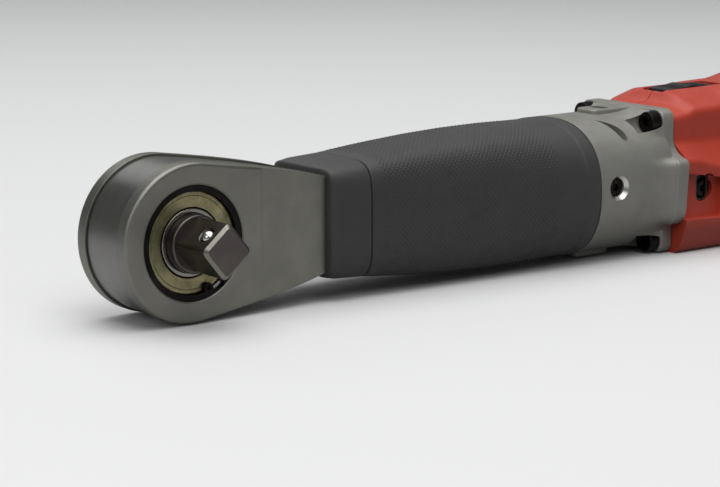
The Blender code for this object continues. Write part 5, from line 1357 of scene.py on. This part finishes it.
# %% Frame, window and liquid crystal
BEZEL_BACK, FACE = span("display_bezel", "Y")
LENS_LOW, LENS_HIGH = span("display_lens", "Y")
PANEL_LOW, PANEL_HIGH = span("display_panel", "Y")

frame_bm = carved(plate(display_outline(BEZEL), edge_levels(BEZEL_BACK, FACE, 0, 0.9, 5)),
                  cuts(plate(display_outline(0.0), [(LENS_LOW - 0.3, 0), (FACE + 4, 0)]),
                       plate(display_outline(-1.2), [(BEZEL_BACK - 4, 0), (FACE, 0)])),
                  bevel=0.25, segments=3)
piece("display_frame", frame_bm, "tool", smooth_black, ["display_bezel"])
piece("display_window", plate(display_outline(-0.3), edge_levels(LENS_LOW, LENS_HIGH, 0.1, 0.3)), "tool",
      window, ["display_lens"])
piece("display_reflector", plate(display_outline(-1.5), edge_levels(PANEL_LOW, PANEL_HIGH - 0.08, 0, 0.1)),
      "tool", lcd_glass, ["display_panel"])

SEGMENTS = {"a": (0, 2, 1, 0), "b": (1, 1, 0, 1), "c": (1, 0, 0, 1), "d": (0, 0, 1, 0), "e": (0, 0, 0, 1),
            "f": (0, 1, 0, 1), "g": (0, 1, 1, 0)}
FIGURES = {"0": "abcdef", "2": "abdeg", "5": "acdfg"}
DIGIT_W, DIGIT_H, STROKE = 6.2, 12.0, 1.25
INK = (PANEL_HIGH - 0.08, PANEL_HIGH - 0.02)


def bar(x0, z0, x1, z1, width):
    """One segment: a bar with pointed ends, from one place to another in X, Z."""
    along = Vector((x1 - x0, z1 - z0)).normalized()
    across = Vector((-along.y, along.x)) * width / 2
    a, b = Vector((x0, z0)) + along * 0.25, Vector((x1, z1)) - along * 0.25
    tip = along * width / 2
    return [tuple(p) for p in (a, a + tip - across, b - tip - across, b, b - tip + across, a + tip + across)]


def flat_marks(shapes, low, high):
    """Outlines in X, Z as one thin mesh between two places along Y."""
    return merged([as_mesh("mark", plate(shape, [(low, 0), (high, 0)])) for shape in shapes])


def lcd_marks():
    """All dark marks as one mesh: three figures, a point and a row of scale bars.

    Seen from +Y the eye's right is -X, so the figures run from high X to low X."""
    shapes = []
    x = DISPLAY[0] + 15.5
    base = DISPLAY[1] - 4.5
    slant = 0.07
    for figure in "250":
        for name in FIGURES[figure]:
            column, row, wide, tall = SEGMENTS[name]
            ends = [(column, row), (column + wide, row + tall)]
            places = [(x - u * DIGIT_W - v * DIGIT_H / 2 * slant, base + v * DIGIT_H / 2) for u, v in ends]
            shapes.append(bar(*places[0], *places[1], STROKE))
        x -= DIGIT_W + 3.4
        if figure == "5":
            dot = x + 1.9
            shapes.append(rectangle(dot - 0.7, base - 0.6, dot + 0.7, base + 0.8))
    for k in range(12):
        left = DISPLAY[0] + 16.5 - k * 2.9
        shapes.append(rectangle(left - 2.2, base - 5.0, left, base - 3.6 + k * 0.08))
    return flat_marks(shapes, *INK)


piece("display_figures", lcd_marks(), "tool", lcd_ink)

# %% Buttons with plain symbols
CAP = 4.0
HALF_STROKE = 0.24
ring = [polar(2.0, math.radians(115 + 310 * k / 24)) for k in range(25)]
ring += [polar(1.55, math.radians(425 - 310 * k / 24)) for k in range(25)]
minus = rectangle(-1.7, -HALF_STROKE, 1.7, HALF_STROKE)
SYMBOLS = {"button_power": [ring, rectangle(-0.23, 0.3, 0.23, 2.3)],
           "button_down": [minus],
           "button_up": [minus, rectangle(-HALF_STROKE, -1.7, HALF_STROKE, 1.7)]}
for node, x in BUTTONS:
    low, high = span(node, "Y")
    profile = softened([(0, low, 0), (1.5, low, 0), (1.5, high - 6.0, 0), (CAP, high - 6.0, 0.2),
                        (CAP, high - 0.1, 0.9), (0, high - 0.25, 0)], 6, closed=False)
    cap = lathe(profile, "Y", 48, (x, 0, BUTTON_Z))
    piece(node + "_cap", cap, node, black_nylon, [node])
    top = high - 0.13
    shapes = [[(x + u, BUTTON_Z + v) for u, v in shape] for shape in SYMBOLS[node]]
    piece(node + "_symbol", flat_marks(shapes, top - 0.1, top), node, white_ink)

# %% [markdown]
# ## Selector and trigger
# The direction selector is a small slide in the roof with a row of grooves for the thumb, and
# the trigger is a paddle under the fingers, hinged on a steel pin at its front. Both ride on
# their own bodies.

# %% Selector and trigger paddle
KNOB_LOWER = 1.5
RIDGES = [k for k in range(-4, 5) if abs(k) > 1]
RIDGE_PITCH = 1.9

low, high = span("direction_selector", "X")
z_low, z_high = span("direction_selector", "Z")
z_high -= KNOB_LOWER
middle = (low + high) / 2
slide_outline = softened([(low, z_low, 0.3), (high, z_low, 0.3), (high, z_high - 0.9, 0.9),
                          (middle + 3, z_high - 0.6, 2), (middle, z_high, 1.2), (middle - 3, z_high - 0.6, 2),
                          (low, z_high - 0.9, 0.9)], 4)
grooves = []
for k in RIDGES:
    x = middle + k * RIDGE_PITCH
    grooves.append(plate(rectangle(x - 0.45, z_high - 1.35, x + 0.45, z_high + 1), [(-4.2, 0), (4.2, 0)]))
slide = carved(plate(slide_outline, [(-5, 0), (5, 0)]), cuts(*grooves), bevel=0.3, segments=3)
piece("selector_slide_knob", slide, "selector", black_nylon, ["direction_selector"])

PIVOT = (350.0, -15.0)
paddle_outline = softened([(PIVOT[0] - 2.8, PIVOT[1] + 2.8, 1.8), (PIVOT[0] - 2.8, -19.5, 2.4),
                           (PIVOT[0] + 8, -22.8, 6), (PIVOT[0] + 24, -25.5, 9), (TRIGGER_END - 8, -24.9, 5.6),
                           (TRIGGER_END, -22.2, 2.6), (TRIGGER_END, -17.5, 1.8),
                           (PIVOT[0] + 6, PIVOT[1] + 2.8, 2.5)], 6)
paddle = carved(plate(paddle_outline, edge_levels(-7, 7, 0.7, 0.7, 4), "Z"),
                cuts(rod(1.8, -9, 9, "Z", 32, (*PIVOT, 0))))
piece("trigger_lever", paddle, "trigger", black_nylon, ["trigger_paddle"])

# %% [markdown]
# ## Battery
# The pack hangs on a tee-shaped rail and slides off sideways. It is a rounded box with a seam
# round its middle, ribs on its end for the hand, three small charge lamps and the release
# latch. The ribs lie in a shallow field and are copies of one bar, placed by the screws' tree.

# %% Pack, ribs and latch
PACK_HIGH = span("battery_pack", "X")[1]
PACK_Y = span("battery_pack", "Y")
PACK_Z = span("battery_pack", "Z")
PACK_FRONT = 504.0
SEAM = 0.35
RIB_RISE, RIB_FIRST_Y, RIB_PITCH, RIB_COUNT = 1.2, -22.0, 5.0, 8
LAMPS_AT = [(0, y, 28.0) for y in (32.0, 38.0, 44.0)]
mid, end = PACK_MIDDLE, HOUSING_END

shell_outline = soft_rectangle(PACK_FRONT, PACK_Y[0], PACK_HIGH, PACK_Y[1], 9, 8)
levels = edge_levels(PACK_Z[0], PACK_Z[1], 2.2, 2.2, 5)
half = len(levels) // 2
levels[half:half] = [(mid - 0.5, 0), (mid - 0.3, SEAM), (mid + 0.3, SEAM), (mid + 0.5, 0)]
rail_outline = [(PACK_FRONT + 1, mid - 12), (PACK_FRONT + 1, mid + 12), (end - 3.7, mid + 12),
                (end - 3.7, mid + 18), (end - 7, mid + 18), (end - 7, mid - 18), (end - 3.7, mid - 18),
                (end - 3.7, mid - 12)]
cover = rounded_box((end + 0.3, -34, FLOOR + 2), (PACK_FRONT + 1, 34, 38), 0.8, 0.4)
latch_x, latch_y, latch_z = (span("battery_latch", axis) for axis in "XYZ")


def latch_outline(grow, corner):
    """The latch's outline in X, Z, moved out by an amount."""
    return soft_rectangle(latch_x[0] - grow, latch_z[0] - grow, latch_x[1] + grow, latch_z[1] + grow, corner)


pocket = plate(latch_outline(0.3, 1.6), [(PACK_Y[0] - 3, 0), (latch_y[1] + 2.8, 0)])
rib_last_y = RIB_FIRST_Y + (RIB_COUNT - 1) * RIB_PITCH
grip_field = rounded_box((-18, RIB_FIRST_Y - 4, 0), (18, rib_last_y + 4, 4), 4, 0)
to_flank = Matrix.Translation((PACK_HIGH - RIB_RISE, 0, mid)) @ Matrix.Rotation(math.pi / 2, 4, "Y")
bmesh.ops.transform(grip_field, matrix=to_flank, verts=grip_field.verts)
steps = [("UNION", plate(rail_outline[::-1], [(-30, 0), (24.7, 0)])), ("UNION", cover)]
steps += cuts(pocket, grip_field, *[rod(1.3, PACK_HIGH - 0.8, PACK_HIGH + 2, "X", 24, at) for at in LAMPS_AT])
pack = carved(plate(shell_outline, levels, "Z"), steps, bevel=0.3, segments=2, limit=40)
piece("battery_shell", pack, "battery", black_nylon, ["battery_pack"], crease=40)

catch = plate(latch_outline(0, 1.8), edge_levels(latch_y[0], latch_y[1], 0.8, 0, 4))
grooves = []
for k in range(-3, 4):
    z = (latch_z[0] + latch_z[1]) / 2 + k * 2.6
    groove = rectangle(latch_x[0] + 2, z - 0.55, latch_x[1] - 2, z + 0.55)
    grooves.append(plate(groove, [(latch_y[0] - 2, 0), (latch_y[0] + 0.7, 0)]))
piece("latch_button", carved(catch, cuts(*grooves), bevel=0.2, segments=2), "latch", red_nylon,
      ["battery_latch"])

# %% Ribs for the hand and the charge lamps
def rib_form(length, width, height):
    """A long low bar with a rounded back, along X and standing along Z."""
    section = softened([(-width / 2, -0.3, 0), (width / 2, -0.3, 0), (width / 2, height, width * 0.45),
                        (-width / 2, height, width * 0.45)], 4)
    bm = skin([[(v, u, w) for u, w in inset(section, amount)] for v, amount in
               ((-length / 2, 0.2), (-length / 2 + 0.3, 0.0), (length / 2 - 0.3, 0.0), (length / 2, 0.2))])
    bmesh.ops.recalc_face_normals(bm, faces=bm.faces)
    return repeatable("rib", bm, 50)


rib_places = [((PACK_HIGH - RIB_RISE, RIB_FIRST_Y + k * RIB_PITCH, mid), (1, 0, 0)) for k in range(RIB_COUNT)]
repeated("battery_ribs", rib_form(30, 2.0, RIB_RISE - 0.05), rib_places, "battery",
         black_nylon)

lamp_profile = softened([(0, PACK_HIGH - 0.9, 0), (1.2, PACK_HIGH - 0.9, 0), (1.2, PACK_HIGH - 0.25, 0.4),
                         (0, PACK_HIGH - 0.1, 0)], 4, closed=False)
lamp_bm = merged([as_mesh("lamp", lathe(lamp_profile, "X", 24, at)) for at in LAMPS_AT])
piece("charge_lamps", lamp_bm, "battery", lcd_glass)

# %% [markdown]
# ## What stays from the frame
# The gears, the motor, the board and the other inner solids already have the right shape. They
# keep it, and each gets the finish of its real material.

# %% Finishes for the solids that stay
KEPT = {
    gear_steel: ("anvil_bevel_gear", "pinion_shaft", "ring_gear", "planet_carrier", "planet_gear_1",
                 "planet_gear_2", "planet_gear_3", "sun_gear"),
    bronze: ("anvil_bush", "pinion_bush"),
    bearing_steel: ("detent_spring", "trigger_spring", "trigger_pin", "motor_rear_bearing"),
    machined_aluminium: ("torque_tube", "motor_bracket"),
    gauge_film: ("strain_gauge_upper", "strain_gauge_lower"),
    copper_wire: ("motor_stator",),
    phosphated_steel: ("motor_rotor",),
    black_nylon: ("motor_fan", "trigger_switch"),
    solder_mask: ("control_board",),
}
for finish, names in KEPT.items():
    for name in names:
        node = bpy.data.objects[name]
        node.data.materials.clear()
        node.data.materials.append(finish)
print("solids that stay:", sum(len(names) for names in KEPT.values()))

# %% Sizes and the end
low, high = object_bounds()
{"cad": [list(v) for v in cad_bounds], "visual": [list(low), list(high)]}
for label, box in (("CAD box", cad_bounds), ("visual box", (low, high))):
    print(label, [[round(c, 4) for c in v] for v in box])
